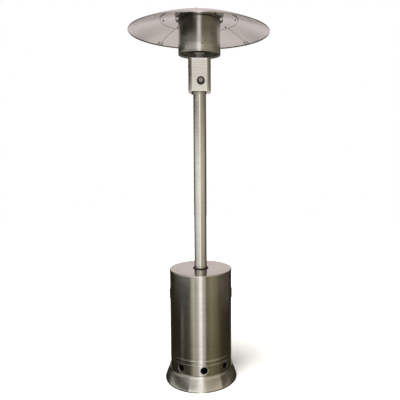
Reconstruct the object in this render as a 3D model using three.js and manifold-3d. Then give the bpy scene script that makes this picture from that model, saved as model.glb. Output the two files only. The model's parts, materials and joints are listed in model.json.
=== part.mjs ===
// A free-standing outdoor gas heater: a flared base, a lift-up housing that hides the gas bottle, one tall
// post, a control box with its valve, a burner inside a drum, and a wide domed reflector on three studs.
// Millimetres, +Z up, floor at z = 0, the control knob faces -Y.
import * as THREE from "three";
import { mergeVertices } from "three/addons/utils/BufferGeometryUtils.js";
import Module from "manifold-3d";

const wasm = await Module();
wasm.setup();

// ---- Driving dimensions ----
const contactGap = 0.3; // left between two pieces that touch
const slideGap = 0.8; // between a sliding piece and its guide
const boltClearance = 0.3; // round a shank in its hole
const facetAllowance = 0.6; // how far the flat facets of the dome lie under its true curve
const coverSheet = 1.2; // stainless sheet of every cover
const heavyPlate = 4; // flat bar and flanges that carry the load

const housingRadius = 188.5;
const housingTop = 691;
const capDepth = 15;
const capEdgeRadius = 5;
const beadHeights = [149, 175];
const beadProud = 0.8;
const beadWidth = 5;
const ventRadius = 21.5;
const ventHeight = 120;
const ventCount = 8;
const ventTurn = 5.4; // degrees to the right of the front
const grommetRadius = 46;
const grommetRise = 4;
const grommetLip = 3;
const grommetRecess = 2; // the pressed seat in the cap's top
const handleWidth = 84;
const handleHeight = 56;
const handleCorner = 14;
const handleProud = 4;
const handleDrop = 151; // of the handles' centres below the housing's top
const handleBezel = 8;
const handleReach = 13; // how far the cup goes inside the housing's wall
const handleWall = 1.6;

const skirtSpread = 31.5; // how much wider the base is than the housing
const skirtHeight = 87;
const skirtLipHeight = 8;
const skirtBulge = 22; // how far the skirt's curve leans out above the straight lip
const skirtBulgeHeight = 35;
const skirtFlangeWidth = 22;
const panFloorHeight = 17;
const panSheet = 2.5;
const panFlangeWidth = 20;
const panEdgeGap = 2; // between the pan's edge and the skirt's wall

const legWidth = 30;
const legGap = 3.8; // between a leg's toe and the housing's wall
const legToe = 18; // how far the foot sticks out past the upright
const legFlangeInner = 45;
const legBendRadius = 6;
const legTurns = [-90, 90, 180]; // the front stays open for the bottle

const postRadius = 38;
const postWall = 1.5;
const postFlangeDrop = 51; // of the post's flange below the housing's top
const postFlangeEdge = 38; // how far the flange sticks out past the post
const postTop = 1754;
const flangeBoltEdge = 16; // from the flange's edge to its bolts

const boxWidth = 130;
const boxDepth = 130;
const boxCorner = 23.5;
const postInBox = 8; // how far the post's end stands above the box's floor
const boxHeight = 186;
const boxLap = 14; // the rear cover's tongue behind the front cover
const boxScrewRadius = 2.5;
const boxScrewDrop = 39; // of the side screws below the box's top
const socketWall = 2.2;
const socketDrop = 12; // below the box
const socketRise = 9; // inside the box
const setScrewDrop = 6.5; // below the box
const setScrewRadius = 3;
const setScrewFlats = 12;
const setScrewHead = 8;

const knobRadius = 23;
const knobOffset = 7; // to the right of the box's centre line
const knobRise = 59; // above the box's floor
const knobDepth = 18;
const knobFlange = 4;
const knobTaper = 2; // of the grip, each side
const knobCapRadius = 12;
const knobCapRecess = 1;
const knobTravel = 4;
const knobStandOff = 5.5;
const stemRadius = 4;
const stemFlat = 3; // from the stem's axis to the flat that keys the knob
const stemBlade = 3.4;
const valveWidth = 52;
const valveHeight = 46;
const valveFront = -42;
const valveBack = 16;
const plugRadius = 9;
const plugLength = 26;
const inletRadius = 7;
const inletStep = 1.5; // between the inlet's collar and its spigot
const inletLength = 26;
const jetRadius = 6;
const jetLength = 20;

const venturiRadius = 16;
const venturiWall = 1.5;
const venturiBell = 25;
const venturiBellDepth = 12;
const jetToBell = 10;
const neckRise = 26; // between the box's roof and the drum's lower edge
const neckRadius = 20;
const neckFlangeRadius = 30;
const emitterRadius = 123;
const burnerFloorRecess = 12;
const burnerFloorRim = 12;
const peepHoleRadius = 4;
const peepHoleRise = 42; // above the drum's lower edge
const peepHoleTurn = 6.9;
const airHoleRadius = 5;
const airHoleCircle = 58;
const burnerRadius = 70;
const burnerFoot = 42; // radius of the burner cup's flat bottom
const burnerRise = 32; // burner cup above the drum's floor
const burnerDepth = 34;
const burnerWall = 3;
const screenRise = 30;
const lineRadius = 1.6;
const lineClearance = 0.7;
const lineSpacing = 12; // between the three lines that feed the pilot
const lineSetback = 34;
const lineReach = 84;
const lineBend = 8; // the straight lead into each of a line's bends
const pilotRadius = 4;
const pilotHood = 18; // length of the hood over the pilot's jet
const sensorRadius = 2.8;
const sensorLength = 28;
const insulatorLength = 22;
const sparkRadius = 1.2;
const sparkLength = 12;
const pilotOverlap = 14; // of a tip over the end of its line
const tiltSwitch = { width: 26, depth: 18, height: 32, side: -26, drop: 45 };
const exhaustRingEdge = 15; // how far the ring sticks out past the drum
const exhaustRingFlat = 25; // how far the ring reaches inside the drum's wall
const exhaustRingLip = 8;
const exhaustGap = 6; // the hot gas leaves here, under the reflector

const reflectorRadius = 407;
const reflectorLift = 122; // of the reflector's rim above the drum's lower edge
const reflectorHem = 4;
const reflectorRise = 97;
const reflectorSheet = 1.2;
const hemRadius = 1.8;
const centreDiscRadius = 225;
const panelInnerRadius = 190;
const panelCount = 4;
const panelSeam = 0.8;
const reflectorTurn = -5; // of the seams and screws, degrees
const reflectorScrewCircle = 208;
const reflectorScrewCount = 8;
const screwRadius = 2.5;
const screwHeadRadius = 5;
const screwHeadHeight = 2;
const studInset = 11; // of the studs' circle inside the drum's wall
const studTurn = 55; // of the first stud, degrees
const studCount = 3;
const studRadius = 3;
const studShoulder = 6;
const studHead = 2; // the riveted end under the ring
const studLength = 20; // above the reflector
const wingSpan = 15;
const wingHeight = 13;
const wingThickness = 2.4;

const large = 40; // sides of a round over 150 across
const medium = 24; // sides of a round over 40 across
const small = 16; // sides of a knob-sized round
const tiny = 8; // sides of a fastener or a line

// ---- Worked-out places ----
const shellBottom = panFloorHeight + contactGap;
const shellTop = housingTop - capEdgeRadius - contactGap;
const capRadius = housingRadius + contactGap + coverSheet;
const handleCentre = housingTop - handleDrop;
const skirtTopRadius = housingRadius + coverSheet + slideGap;
const baseRadius = skirtTopRadius + skirtSpread;
const legFootRadius = housingRadius - coverSheet - legGap;
const legInnerRadius = legFootRadius - legToe;
const postFlangeBottom = housingTop - postFlangeDrop;
const postFlangeRadius = postRadius + postFlangeEdge;
const flangeBoltCircle = postFlangeRadius - flangeBoltEdge;
const boxBottom = postTop - postInBox;
const boxTop = boxBottom + boxHeight;
const boxPlate = heavyPlate / 2; // the box's floor and roof
const boxFront = -boxDepth / 2;
const boxInset = coverSheet + contactGap;
const knobHeight = boxBottom + knobRise;
const emitterBottom = boxTop + neckRise;
const burnerFloorZ = emitterBottom + burnerFloorRecess;
const drumInner = emitterRadius - coverSheet;
const reflectorRim = emitterBottom + reflectorLift;
const exhaustRingRadius = emitterRadius + exhaustRingEdge;
const exhaustRingHole = emitterRadius - exhaustRingFlat;
const studCircle = emitterRadius - studInset;
const exhaustRingZ = domeUnderside(exhaustRingRadius) - contactGap - reflectorSheet - exhaustGap;
const drumTop = exhaustRingZ - coverSheet - contactGap;
const valveTop = knobHeight + valveHeight / 2;
const valveBottom = knobHeight - valveHeight / 2;

// Height of the reflector panels' underside at a radius: a shallow parabola above the hem.
function domeUnderside(radius) {
  return reflectorRim + reflectorHem + reflectorRise * (1 - (radius / reflectorRadius) ** 2);
}

// ---- Finishes ----
const finishes = {
  stainless: { color: 0xb4b0a6, roughness: 0.32, metalness: 1 },
  aluminium: { color: 0xc9c5c2, roughness: 0.38, metalness: 1 },
  galvanised: { color: 0x9a9c9c, roughness: 0.5, metalness: 1 },
  castIron: { color: 0x3a3936, roughness: 0.7, metalness: 0.8 },
  brass: { color: 0xb08d4a, roughness: 0.35, metalness: 1 },
  blackPlastic: { color: 0x1c1b1a, roughness: 0.5, metalness: 0 },
  blackRubber: { color: 0x171615, roughness: 0.8, metalness: 0 },
  ceramic: { color: 0xe8e4da, roughness: 0.4, metalness: 0 },
  copper: { color: 0xb3704a, roughness: 0.35, metalness: 1 },
};

const heater = new THREE.Group();
const housing = new THREE.Group();
const head = new THREE.Group();
heater.add(housing, head);

function addPart(parent, name, geometry, finish) {
  const mesh = new THREE.Mesh(geometry, new THREE.MeshStandardMaterial(finishes[finish]));
  mesh.name = name;
  parent.add(mesh);
  return mesh;
}

// ---- Shape helpers ----
const radians = THREE.MathUtils.degToRad;
const at = (r, z) => new THREE.Vector2(r, z);

// A point at a radius and a turn to the right of the front, seen from above.
function around(radius, degrees, z) {
  const angle = radians(degrees);
  return new THREE.Vector3(radius * Math.sin(angle), -radius * Math.cos(angle), z);
}

// A solid of revolution about Z from an outline in (radius, height). An outline that begins and ends on the
// axis is left open there; any other is closed on itself.
function turned(outline, sides = large) {
  const points = THREE.ShapeUtils.area(outline) < 0 ? [...outline].reverse() : [...outline];
  const onAxis = points[0].x === 0 && points[points.length - 1].x === 0;
  if (!onAxis) points.push(points[0].clone());
  return new THREE.LatheGeometry(points, sides).rotateX(Math.PI / 2);
}

// A flat ring or washer, or a disc when the inner radius is zero.
function ring(inner, outer, bottom, top, sides = large) {
  const outline = [at(inner, bottom), at(outer, bottom), at(outer, top), at(inner, top)];
  return turned(outline, sides);
}

function disc(radius, bottom, top, sides = small) {
  return turned([at(0, bottom), at(radius, bottom), at(radius, top), at(0, top)], sides);
}

// A prism along Z of a flat shape.
function prism(shape, bottom, top, curveSegments = 3) {
  const depth = top - bottom;
  const options = { depth, bevelEnabled: false, curveSegments };
  return new THREE.ExtrudeGeometry(shape, options).translate(0, 0, bottom);
}

// Turns a shape made along +Z so that its +Z points along -Y, out of the front.
function facingFront(geometry, x, y, z) {
  return geometry.rotateX(Math.PI / 2).translate(x, y, z);
}

// Turns a shape made along +Z so that its +Z points outward at a turn about the post.
function facingOut(geometry, degrees, radius, z) {
  const place = around(radius, degrees, z);
  geometry.rotateX(Math.PI / 2).rotateZ(radians(degrees));
  return geometry.translate(place.x, place.y, place.z);
}

function roundedRectangle(width, depth, corner) {
  const x = width / 2;
  const y = depth / 2;
  const shape = new THREE.Shape();
  shape.absarc(x - corner, y - corner, corner, 0, Math.PI / 2);
  shape.absarc(-x + corner, y - corner, corner, Math.PI / 2, Math.PI);
  shape.absarc(-x + corner, -y + corner, corner, Math.PI, 1.5 * Math.PI);
  shape.absarc(x - corner, -y + corner, corner, 1.5 * Math.PI, 2 * Math.PI);
  return shape;
}

function hexagon(acrossFlats) {
  const shape = new THREE.Shape();
  const corner = acrossFlats / Math.sqrt(3);
  for (let side = 0; side < 6; side += 1) {
    const angle = (side * Math.PI) / 3;
    const point = [corner * Math.cos(angle), corner * Math.sin(angle)];
    if (side === 0) shape.moveTo(...point);
    else shape.lineTo(...point);
  }
  shape.closePath();
  return shape;
}

// ---- Boolean helpers ----
function solidOf(geometry) {
  const bare = geometry.clone();
  bare.deleteAttribute("normal");
  bare.deleteAttribute("uv");
  const merged = mergeVertices(bare, 1e-3);
  const vertProperties = merged.attributes.position.array;
  const triVerts = new Uint32Array(merged.index.array);
  return new wasm.Manifold(new wasm.Mesh({ numProp: 3, vertProperties, triVerts }));
}

function geometryOf(solid) {
  const mesh = solid.getMesh();
  const geometry = new THREE.BufferGeometry();
  geometry.setAttribute("position", new THREE.BufferAttribute(mesh.vertProperties, 3));
  geometry.setIndex(new THREE.BufferAttribute(mesh.triVerts, 1));
  geometry.computeVertexNormals();
  return geometry;
}

function cut(geometry, ...tools) {
  const start = solidOf(geometry);
  return geometryOf(tools.reduce((left, tool) => left.subtract(solidOf(tool)), start));
}

function join(geometry, ...others) {
  const start = solidOf(geometry);
  return geometryOf(others.reduce((sum, other) => sum.add(solidOf(other)), start));
}

function common(geometry, tool) {
  return geometryOf(solidOf(geometry).intersect(solidOf(tool)));
}

function block(width, depth, height, x, y, z) {
  return new THREE.BoxGeometry(width, depth, height).translate(x, y, z);
}

// A vertical hole or shank at a place in plan.
function rod(radius, bottom, top, x, y, sides = tiny) {
  return disc(radius, bottom, top, sides).translate(x, y, 0);
}

// A hex-headed bolt pointing down, its head resting on the given height.
function hexBolt(shank, acrossFlats, headHeight, seat, tip) {
  const headShape = prism(hexagon(acrossFlats), seat, seat + headHeight);
  return join(headShape, rod(shank, tip, seat + headHeight / 2, 0, 0));
}

// ---- Base ----
const foot = { boltRadius: 3, boltFlats: 10, boltHead: 4, boltCircle: legFootRadius - legToe / 3 };

function skirtCurve(offset) {
  const top = at(skirtTopRadius + offset, skirtHeight);
  const lean = at(skirtTopRadius + offset + skirtBulge, skirtBulgeHeight);
  const low = at(baseRadius - coverSheet + offset, skirtLipHeight);
  return new THREE.QuadraticBezierCurve(top, lean, low).getPoints(5);
}

function makeBase() {
  const outer = skirtCurve(coverSheet);
  const inner = skirtCurve(0).reverse();
  const flangeInner = baseRadius - skirtFlangeWidth;
  const toe = [at(baseRadius, 0), at(flangeInner, 0), at(flangeInner, coverSheet)];
  const heel = at(baseRadius - coverSheet, coverSheet);
  addPart(heater, "base_skirt", turned([...outer, ...toe, heel, ...inner]), "stainless");

  const flangeZ = coverSheet + contactGap;
  const flangeOuter = baseRadius - coverSheet - panEdgeGap;
  const bend = flangeOuter - panFlangeWidth;
  const shelf = housingRadius + slideGap;
  const pan = turned([
    at(0, panFloorHeight - panSheet),
    at(shelf, panFloorHeight - panSheet),
    at(bend, flangeZ),
    at(flangeOuter, flangeZ),
    at(flangeOuter, flangeZ + panSheet),
    at(bend + panSheet, flangeZ + panSheet),
    at(shelf + panSheet, panFloorHeight),
    at(0, panFloorHeight),
  ]);
  const holes = legTurns.map((turn) => {
    const place = around(foot.boltCircle, turn, 0);
    return rod(foot.boltRadius + boltClearance, 0, housingTop, place.x, place.y);
  });
  addPart(heater, "base_pan", cut(pan, ...holes), "galvanised");
}

// ---- Support legs: flat bar bent outward at the foot and inward under the post ----
const flangeBolt = { radius: 4, flats: 13, head: 5.3 };
const legTop = postFlangeBottom - contactGap;

function legShape() {
  const bottom = panFloorHeight + contactGap;
  const inner = legInnerRadius;
  const outer = legInnerRadius + heavyPlate;
  const bend = legBendRadius;
  const shape = new THREE.Shape();
  shape.moveTo(legFootRadius, bottom);
  shape.lineTo(legFootRadius, bottom + heavyPlate);
  shape.lineTo(outer, bottom + heavyPlate);
  shape.absarc(outer - bend, legTop - bend, bend, 0, Math.PI / 2);
  shape.lineTo(legFlangeInner, legTop);
  shape.lineTo(legFlangeInner, legTop - heavyPlate);
  shape.lineTo(inner, legTop - heavyPlate);
  shape.absarc(inner + bend, bottom + bend, bend, Math.PI, 1.5 * Math.PI);
  shape.closePath();
  return shape;
}

function makeLegs() {
  const footHole = rod(foot.boltRadius + boltClearance, 0, foot.boltCircle, foot.boltCircle, 0);
  const flangeHole = rod(flangeBolt.radius + boltClearance, skirtHeight, housingTop, flangeBoltCircle, 0);
  const bar = prism(legShape(), -legWidth / 2, legWidth / 2, 2).rotateX(Math.PI / 2);
  const leg = cut(bar, footHole, flangeHole).rotateZ(-Math.PI / 2);
  const footSeat = panFloorHeight + 2 * contactGap + heavyPlate;
  const footTip = panFloorHeight - panSheet - heavyPlate;
  const flangeSeat = postFlangeBottom + heavyPlate + contactGap;
  const flangeTip = legTop - 3 * heavyPlate;
  legTurns.forEach((turn, index) => {
    const angle = radians(turn);
    const footPlace = around(foot.boltCircle, turn, 0);
    const flangePlace = around(flangeBoltCircle, turn, 0);
    const footBolt = hexBolt(foot.boltRadius, foot.boltFlats, foot.boltHead, footSeat, footTip);
    const postBolt = hexBolt(flangeBolt.radius, flangeBolt.flats, flangeBolt.head, flangeSeat, flangeTip);
    addPart(heater, `support_leg_${index + 1}`, leg.clone(), "galvanised").rotation.z = angle;
    addPart(heater, `foot_bolt_${index + 1}`, footBolt, "galvanised").position.copy(footPlace);
    addPart(heater, `flange_bolt_${index + 1}`, postBolt, "galvanised").position.copy(flangePlace);
  });
}

function makePost() {
  const inner = postRadius - postWall;
  const post = turned([
    at(inner, postFlangeBottom),
    at(postFlangeRadius, postFlangeBottom),
    at(postFlangeRadius, postFlangeBottom + heavyPlate),
    at(postRadius, postFlangeBottom + heavyPlate),
    at(postRadius, postTop),
    at(inner, postTop),
  ], medium);
  const holes = legTurns.map((turn) => {
    const place = around(flangeBoltCircle, turn, 0);
    return rod(flangeBolt.radius + boltClearance, skirtHeight, housingTop, place.x, place.y);
  });
  addPart(heater, "post", cut(post, ...holes), "stainless");
}

// ---- Housing that lifts up the post ----
const handleCut = { width: handleWidth - 2 * handleBezel, height: handleHeight - 2 * handleBezel };

function wallOutline(outerRadius, bottom, top) {
  const outline = [at(outerRadius - coverSheet, bottom), at(outerRadius, bottom)];
  beadHeights.forEach((height) => {
    outline.push(at(outerRadius, height - beadWidth / 2));
    outline.push(at(outerRadius + beadProud, height));
    outline.push(at(outerRadius, height + beadWidth / 2));
  });
  outline.push(at(outerRadius, top), at(outerRadius - coverSheet, top));
  return outline;
}

function makeHousing() {
  const vents = [];
  for (let index = 0; index < ventCount; index += 1) {
    const turn = ventTurn + (index * 360) / ventCount;
    vents.push(facingOut(disc(ventRadius, -capEdgeRadius, capEdgeRadius), turn, housingRadius, ventHeight));
  }
  const handleSlots = [-90, 90].map((turn) => {
    const { width, height } = handleCut;
    const shape = roundedRectangle(width, height, handleCorner - handleBezel);
    return facingOut(prism(shape, -2 * handleProud, 2 * handleProud), turn, housingRadius, handleCentre);
  });
  const shell = turned(wallOutline(housingRadius, shellBottom, shellTop));
  addPart(housing, "housing_shell", cut(shell, ...vents, ...handleSlots), "stainless");

  const edge = new THREE.Path();
  edge.absarc(capRadius - capEdgeRadius, housingTop - capEdgeRadius, capEdgeRadius, 0, Math.PI / 2);
  const hole = postRadius + slideGap + grommetLip;
  const seat = housingTop - grommetRecess;
  const seatRadius = grommetRadius + contactGap;
  const cap = turned([
    at(capRadius, housingTop - capDepth),
    ...edge.getPoints(3),
    at(seatRadius, housingTop),
    at(seatRadius, seat),
    at(hole, seat),
    at(hole, seat - coverSheet),
    at(seatRadius + coverSheet, seat - coverSheet),
    at(seatRadius + coverSheet, housingTop - coverSheet),
    at(capRadius - coverSheet - capEdgeRadius / 2, housingTop - coverSheet),
    at(capRadius - coverSheet, housingTop - capEdgeRadius),
    at(capRadius - coverSheet, housingTop - capDepth),
  ]);
  addPart(housing, "housing_cap", cap, "stainless");

  const inner = postRadius + slideGap;
  const neck = hole - contactGap;
  const low = seat - coverSheet - contactGap;
  const grommet = turned([
    at(inner, low - grommetLip),
    at(hole + grommetLip, low - grommetLip),
    at(hole + grommetLip, low),
    at(neck, low),
    at(neck, seat + contactGap),
    at(grommetRadius, seat + contactGap),
    at(grommetRadius, housingTop + grommetRise / 2),
    at(grommetRadius - grommetRise / 2, housingTop + grommetRise),
    at(inner, housingTop + grommetRise),
  ], medium);
  addPart(housing, "post_grommet", grommet, "blackRubber");
}

// A moulded hand grip: an oval bezel outside the wall and a finger cup that reaches inside it.
function makeHandles() {
  const { width, height } = handleCut;
  const corner = handleCorner - handleBezel - contactGap;
  const cupShape = roundedRectangle(width - 2 * contactGap, height - 2 * contactGap, corner);
  const hollowWidth = width - 2 * handleWall;
  const hollowHeight = height - 2 * handleWall;
  const hollow = roundedRectangle(hollowWidth, hollowHeight, Math.max(corner - handleWall, 1));
  const bezel = roundedRectangle(handleWidth, handleHeight, handleCorner);
  const wallOuter = ring(0.5 * housingRadius, housingRadius + contactGap, handleCentre - handleHeight,
    handleCentre + handleHeight);
  [["left", -90], ["right", 90]].forEach(([side, turn]) => {
    const out = (shape, from, to) => facingOut(prism(shape, from, to), turn, housingRadius, handleCentre);
    const rim = cut(out(bezel, -handleReach, handleProud), wallOuter);
    const cup = out(cupShape, -handleReach, handleProud / 2);
    const grip = cut(join(rim, cup), out(hollow, handleWall - handleReach, 2 * handleProud));
    addPart(housing, `housing_handle_${side}`, grip, "blackPlastic");
  });
}

// ---- Control box ----
function makeBox() {
  const sheet = coverSheet;
  const outer = roundedRectangle(boxWidth, boxDepth, boxCorner);
  const inner = roundedRectangle(boxWidth - 2 * sheet, boxDepth - 2 * sheet, boxCorner - sheet);
  const tube = cut(prism(outer, boxBottom, boxTop), prism(inner, boxBottom - sheet, boxTop + sheet));
  const height = boxTop - boxBottom;
  const screwHeight = boxTop - boxScrewDrop;
  const middle = (boxTop + boxBottom) / 2;
  const keep = (from, to) => block(2 * boxWidth, to - from, 2 * height, 0, (from + to) / 2, middle);
  const knobHole = stemRadius + 2 * slideGap;
  const stemHole = facingFront(disc(knobHole, -boxCorner, boxCorner), knobOffset, boxFront, knobHeight);
  const sideHole = new THREE.CylinderGeometry(boxScrewRadius + boltClearance,
    boxScrewRadius + boltClearance, 2 * boxWidth, tiny).rotateZ(Math.PI / 2);
  sideHole.translate(0, -boxLap / 2, screwHeight);
  const front = common(tube, keep(-boxDepth, -contactGap / 2));
  addPart(head, "box_front_cover", cut(front, stemHole, sideHole), "stainless");

  const gap = contactGap;
  const tongueOuter = boxWidth / 2 - sheet - gap;
  const floorTop = boxBottom + boxPlate + 2 * gap;
  const tongueHeight = boxTop - boxPlate - 2 * gap - floorTop;
  const tongueMiddle = floorTop + tongueHeight / 2;
  const rear = common(tube, keep(contactGap / 2, boxDepth));
  const tongues = [-1, 1].map((side) => {
    const outerX = side * (tongueOuter - sheet / 2);
    const strip = block(sheet, 2 * boxLap, tongueHeight, outerX, 0, tongueMiddle);
    const weldX = outerX + side * gap;
    const weld = block(2 * sheet, boxLap / 2, tongueHeight, weldX, 0.75 * boxLap, tongueMiddle);
    return join(strip, weld);
  });
  addPart(head, "box_rear_cover", cut(join(rear, ...tongues), sideHole), "stainless");

  [-1, 1].forEach((side, index) => {
    const headRadius = 2 * boxScrewRadius;
    const seat = boxWidth / 2 + gap;
    const shank = boxScrewRadius;
    const screw = turned([
      at(0, seat - 4 * sheet),
      at(shank, seat - 4 * sheet),
      at(shank, seat),
      at(headRadius, seat),
      at(headRadius * 0.7, seat + screwHeadHeight),
      at(0, seat + screwHeadHeight),
    ], tiny);
    screw.rotateY((side * Math.PI) / 2).translate(0, -boxLap / 2, screwHeight);
    addPart(head, `box_screw_${index + 1}`, screw, "stainless");
  });
}

function platedShape() {
  const inset = 2 * boxInset;
  return roundedRectangle(boxWidth - inset, boxDepth - inset, boxCorner - boxInset);
}

// The holes that the three pilot lines pass through, from one height to another.
function lineHoles(bottom, top) {
  const radius = lineRadius + lineClearance;
  return [-1, 0, 1].map((step) => rod(radius, bottom, top, step * lineSpacing, lineSetback));
}

// The box's floor carries a welded socket that drops over the post and is locked by a side screw.
function makeBoxFloorAndRoof() {
  const bore = postRadius + contactGap;
  const lower = boxBottom - socketDrop;
  const upper = boxBottom + socketRise;
  const socket = ring(bore, bore + socketWall, lower, upper, medium);
  const plate = prism(platedShape(), boxBottom, boxBottom + boxPlate);
  const floor = cut(plate, rod(bore, lower, upper, 0, 0, medium));
  const screwHeight = boxBottom - setScrewDrop;
  const screwReach = 2 * socketWall;
  const hole = disc(setScrewRadius + boltClearance, -screwReach, screwReach, tiny);
  const screwHole = facingOut(hole, -90, bore, screwHeight);
  addPart(head, "box_floor", cut(join(floor, socket), screwHole), "stainless");

  const seat = socketWall + contactGap;
  const headShape = prism(hexagon(setScrewFlats), seat, seat + setScrewHead);
  const screw = join(headShape, disc(setScrewRadius, 2 * contactGap, seat + setScrewHead / 2, tiny));
  addPart(head, "post_set_screw", facingOut(screw, -90, bore, screwHeight), "galvanised");

  const venturiHole = rod(venturiRadius + boltClearance, boxBottom, 2 * boxTop, 0, 0, small);
  const roof = prism(platedShape(), boxTop - boxPlate, boxTop);
  addPart(head, "box_roof", cut(roof, venturiHole, ...lineHoles(boxBottom, 2 * boxTop)), "stainless");
}

// ---- Gas train ----
function makeValve() {
  const width = valveWidth;
  const depth = valveBack - valveFront;
  const centreY = (valveBack + valveFront) / 2;
  const body = block(width, depth, valveHeight, knobOffset, centreY, knobHeight);
  const bore = plugRadius + boltClearance;
  const plugBore = facingFront(disc(bore, -plugLength - contactGap, plugLength), knobOffset, valveFront,
    knobHeight);
  addPart(head, "gas_valve_body", cut(body, plugBore), "aluminium");

  const slot = block(2 * stemRadius + 2 * boltClearance, 3 * plugLength, stemBlade + 2 * boltClearance,
    knobOffset, valveFront, knobHeight);
  const plug = facingFront(disc(plugRadius, -plugLength, 0), knobOffset, valveFront, knobHeight);
  addPart(head, "valve_plug", cut(plug, slot), "brass");

  const bladeRear = valveFront + plugLength - knobTravel - boltClearance;
  const stemFront = boxFront - knobStandOff - knobDepth / 2;
  const bladeFront = valveFront - knobTravel - 2 * boltClearance;
  const overlap = stemRadius / 2;
  const bladeY = (bladeRear + bladeFront - overlap) / 2;
  const bladeLength = bladeRear - bladeFront + overlap;
  const blade = block(2 * stemRadius, bladeLength, stemBlade, knobOffset, bladeY, knobHeight);
  const shaft = facingFront(disc(stemRadius, 0, bladeFront - stemFront), knobOffset, bladeFront, knobHeight);
  const flatZ = knobHeight + stemFlat + stemRadius / 2;
  const flat = block(4 * stemRadius, knobDepth, stemRadius, knobOffset, stemFront, flatZ);
  addPart(head, "valve_stem", cut(join(shaft, blade), flat), "brass");

  const spigotTop = valveBottom - contactGap;
  const fitting = turned([
    at(0, spigotTop),
    at(inletRadius, spigotTop),
    at(inletRadius, spigotTop - inletLength / 3),
    at(inletRadius - inletStep, spigotTop - inletLength / 3),
    at(inletRadius - inletStep, spigotTop - inletLength),
    at(0, spigotTop - inletLength),
  ], tiny);
  fitting.translate(knobOffset, valveFront / 2, 0);
  addPart(head, "gas_inlet_fitting", fitting, "brass");

  const jetBottom = valveTop + contactGap;
  const jet = turned([
    at(0, jetBottom),
    at(jetRadius, jetBottom),
    at(jetRadius, jetBottom + (2 * jetLength) / 3),
    at(jetRadius / 2, jetBottom + jetLength),
    at(0, jetBottom + jetLength),
  ], tiny);
  addPart(head, "gas_jet", jet, "brass");
}

function makeKnob() {
  const bore = stemRadius + boltClearance;
  const gripRadius = knobRadius - knobTaper;
  const body = turned([
    at(0, 0),
    at(knobRadius, 0),
    at(knobRadius, knobFlange),
    at(gripRadius, knobFlange),
    at(gripRadius - knobTaper, knobDepth - knobTaper),
    at(gripRadius - 2 * knobTaper, knobDepth),
    at(knobCapRadius, knobDepth),
    at(knobCapRadius, knobDepth - knobCapRecess),
    at(0, knobDepth - knobCapRecess),
  ], medium);
  const hole = disc(bore, -contactGap, knobDepth / 2 + boltClearance);
  const keyY = stemFlat + boltClearance + stemRadius / 2;
  const key = block(2 * bore, stemRadius, knobDepth, 0, keyY, knobDepth / 2);
  const flatHole = cut(hole, key);
  const knob = facingFront(cut(body, flatHole), knobOffset, boxFront - knobStandOff, knobHeight);
  addPart(head, "control_knob", knob, "blackPlastic");
}

function makeVenturi() {
  const bottom = valveTop + contactGap + jetLength + jetToBell;
  const throat = bottom + venturiBellDepth;
  const inner = venturiRadius - venturiWall;
  const seat = boxTop + contactGap;
  const shoulder = burnerFloorZ + burnerRise - contactGap;
  const top = shoulder + burnerDepth / 3;
  const wall = venturiWall;
  const venturi = turned([
    at(venturiBell, bottom),
    at(venturiRadius, throat),
    at(venturiRadius, seat),
    at(neckFlangeRadius, seat),
    at(neckFlangeRadius, seat + wall),
    at(venturiRadius, seat + wall),
    at(venturiRadius, shoulder - wall),
    at(venturiRadius + 2 * wall, shoulder - wall),
    at(venturiRadius + 2 * wall, shoulder),
    at(venturiRadius, shoulder),
    at(venturiRadius, top),
    at(inner, top),
    at(inner, throat),
    at(venturiBell - wall, bottom),
  ], small);
  addPart(head, "venturi_tube", venturi, "aluminium");

  const low = seat + wall + contactGap;
  const high = burnerFloorZ - contactGap;
  const neck = turned([
    at(neckRadius - coverSheet, low),
    at(neckFlangeRadius, low),
    at(neckFlangeRadius, low + coverSheet),
    at(neckRadius, low + coverSheet),
    at(neckRadius, high - coverSheet),
    at(neckFlangeRadius, high - coverSheet),
    at(neckFlangeRadius, high),
    at(neckRadius - coverSheet, high),
  ], medium);
  addPart(head, "head_neck", cut(neck, ...lineHoles(boxTop, burnerFloorZ)), "stainless");
}

// ---- Burner and drum ----
function makeBurner() {
  const rimRadius = drumInner - contactGap;
  const floor = turned([
    at(0, burnerFloorZ),
    at(rimRadius, burnerFloorZ),
    at(rimRadius, burnerFloorZ + burnerFloorRim),
    at(rimRadius - coverSheet, burnerFloorZ + burnerFloorRim),
    at(rimRadius - coverSheet, burnerFloorZ + coverSheet),
    at(0, burnerFloorZ + coverSheet),
  ]);
  const air = around(airHoleCircle, peepHoleTurn, 0);
  const holes = [
    rod(venturiRadius + boltClearance, boxTop, 2 * boxTop, 0, 0, small),
    rod(airHoleRadius, boxTop, 2 * boxTop, air.x, air.y),
    ...lineHoles(boxTop, 2 * boxTop),
  ];
  addPart(head, "burner_floor", cut(floor, ...holes), "stainless");

  const bottom = burnerFloorZ + burnerRise;
  const top = bottom + burnerDepth;
  const socket = venturiRadius + boltClearance;
  const cup = turned([
    at(socket, bottom),
    at(burnerFoot, bottom),
    at(burnerRadius, bottom + burnerDepth / 2),
    at(burnerRadius, top),
    at(burnerRadius - burnerWall, top),
    at(burnerRadius - burnerWall, bottom + burnerDepth / 2 + burnerWall / 2),
    at(burnerFoot - burnerWall / 2, bottom + burnerWall),
    at(socket, bottom + burnerWall),
  ], medium);
  addPart(head, "burner_head", cup, "castIron");

  const seat = top + contactGap;
  const dome = new THREE.Path();
  dome.absellipse(0, seat + burnerWall, burnerRadius, screenRise, 0, Math.PI / 2);
  const under = new THREE.Path();
  under.absellipse(0, seat + burnerWall, burnerRadius - coverSheet, screenRise - coverSheet, 0, Math.PI / 2);
  const screen = turned([
    at(burnerRadius, seat),
    ...dome.getPoints(4).slice(0, -1),
    at(0, seat + burnerWall + screenRise),
    at(0, seat + burnerWall + screenRise - coverSheet),
    ...under.getPoints(4).reverse().slice(1),
    at(burnerRadius - coverSheet, seat),
  ], small);
  addPart(head, "burner_screen", screen, "castIron");
}

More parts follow.
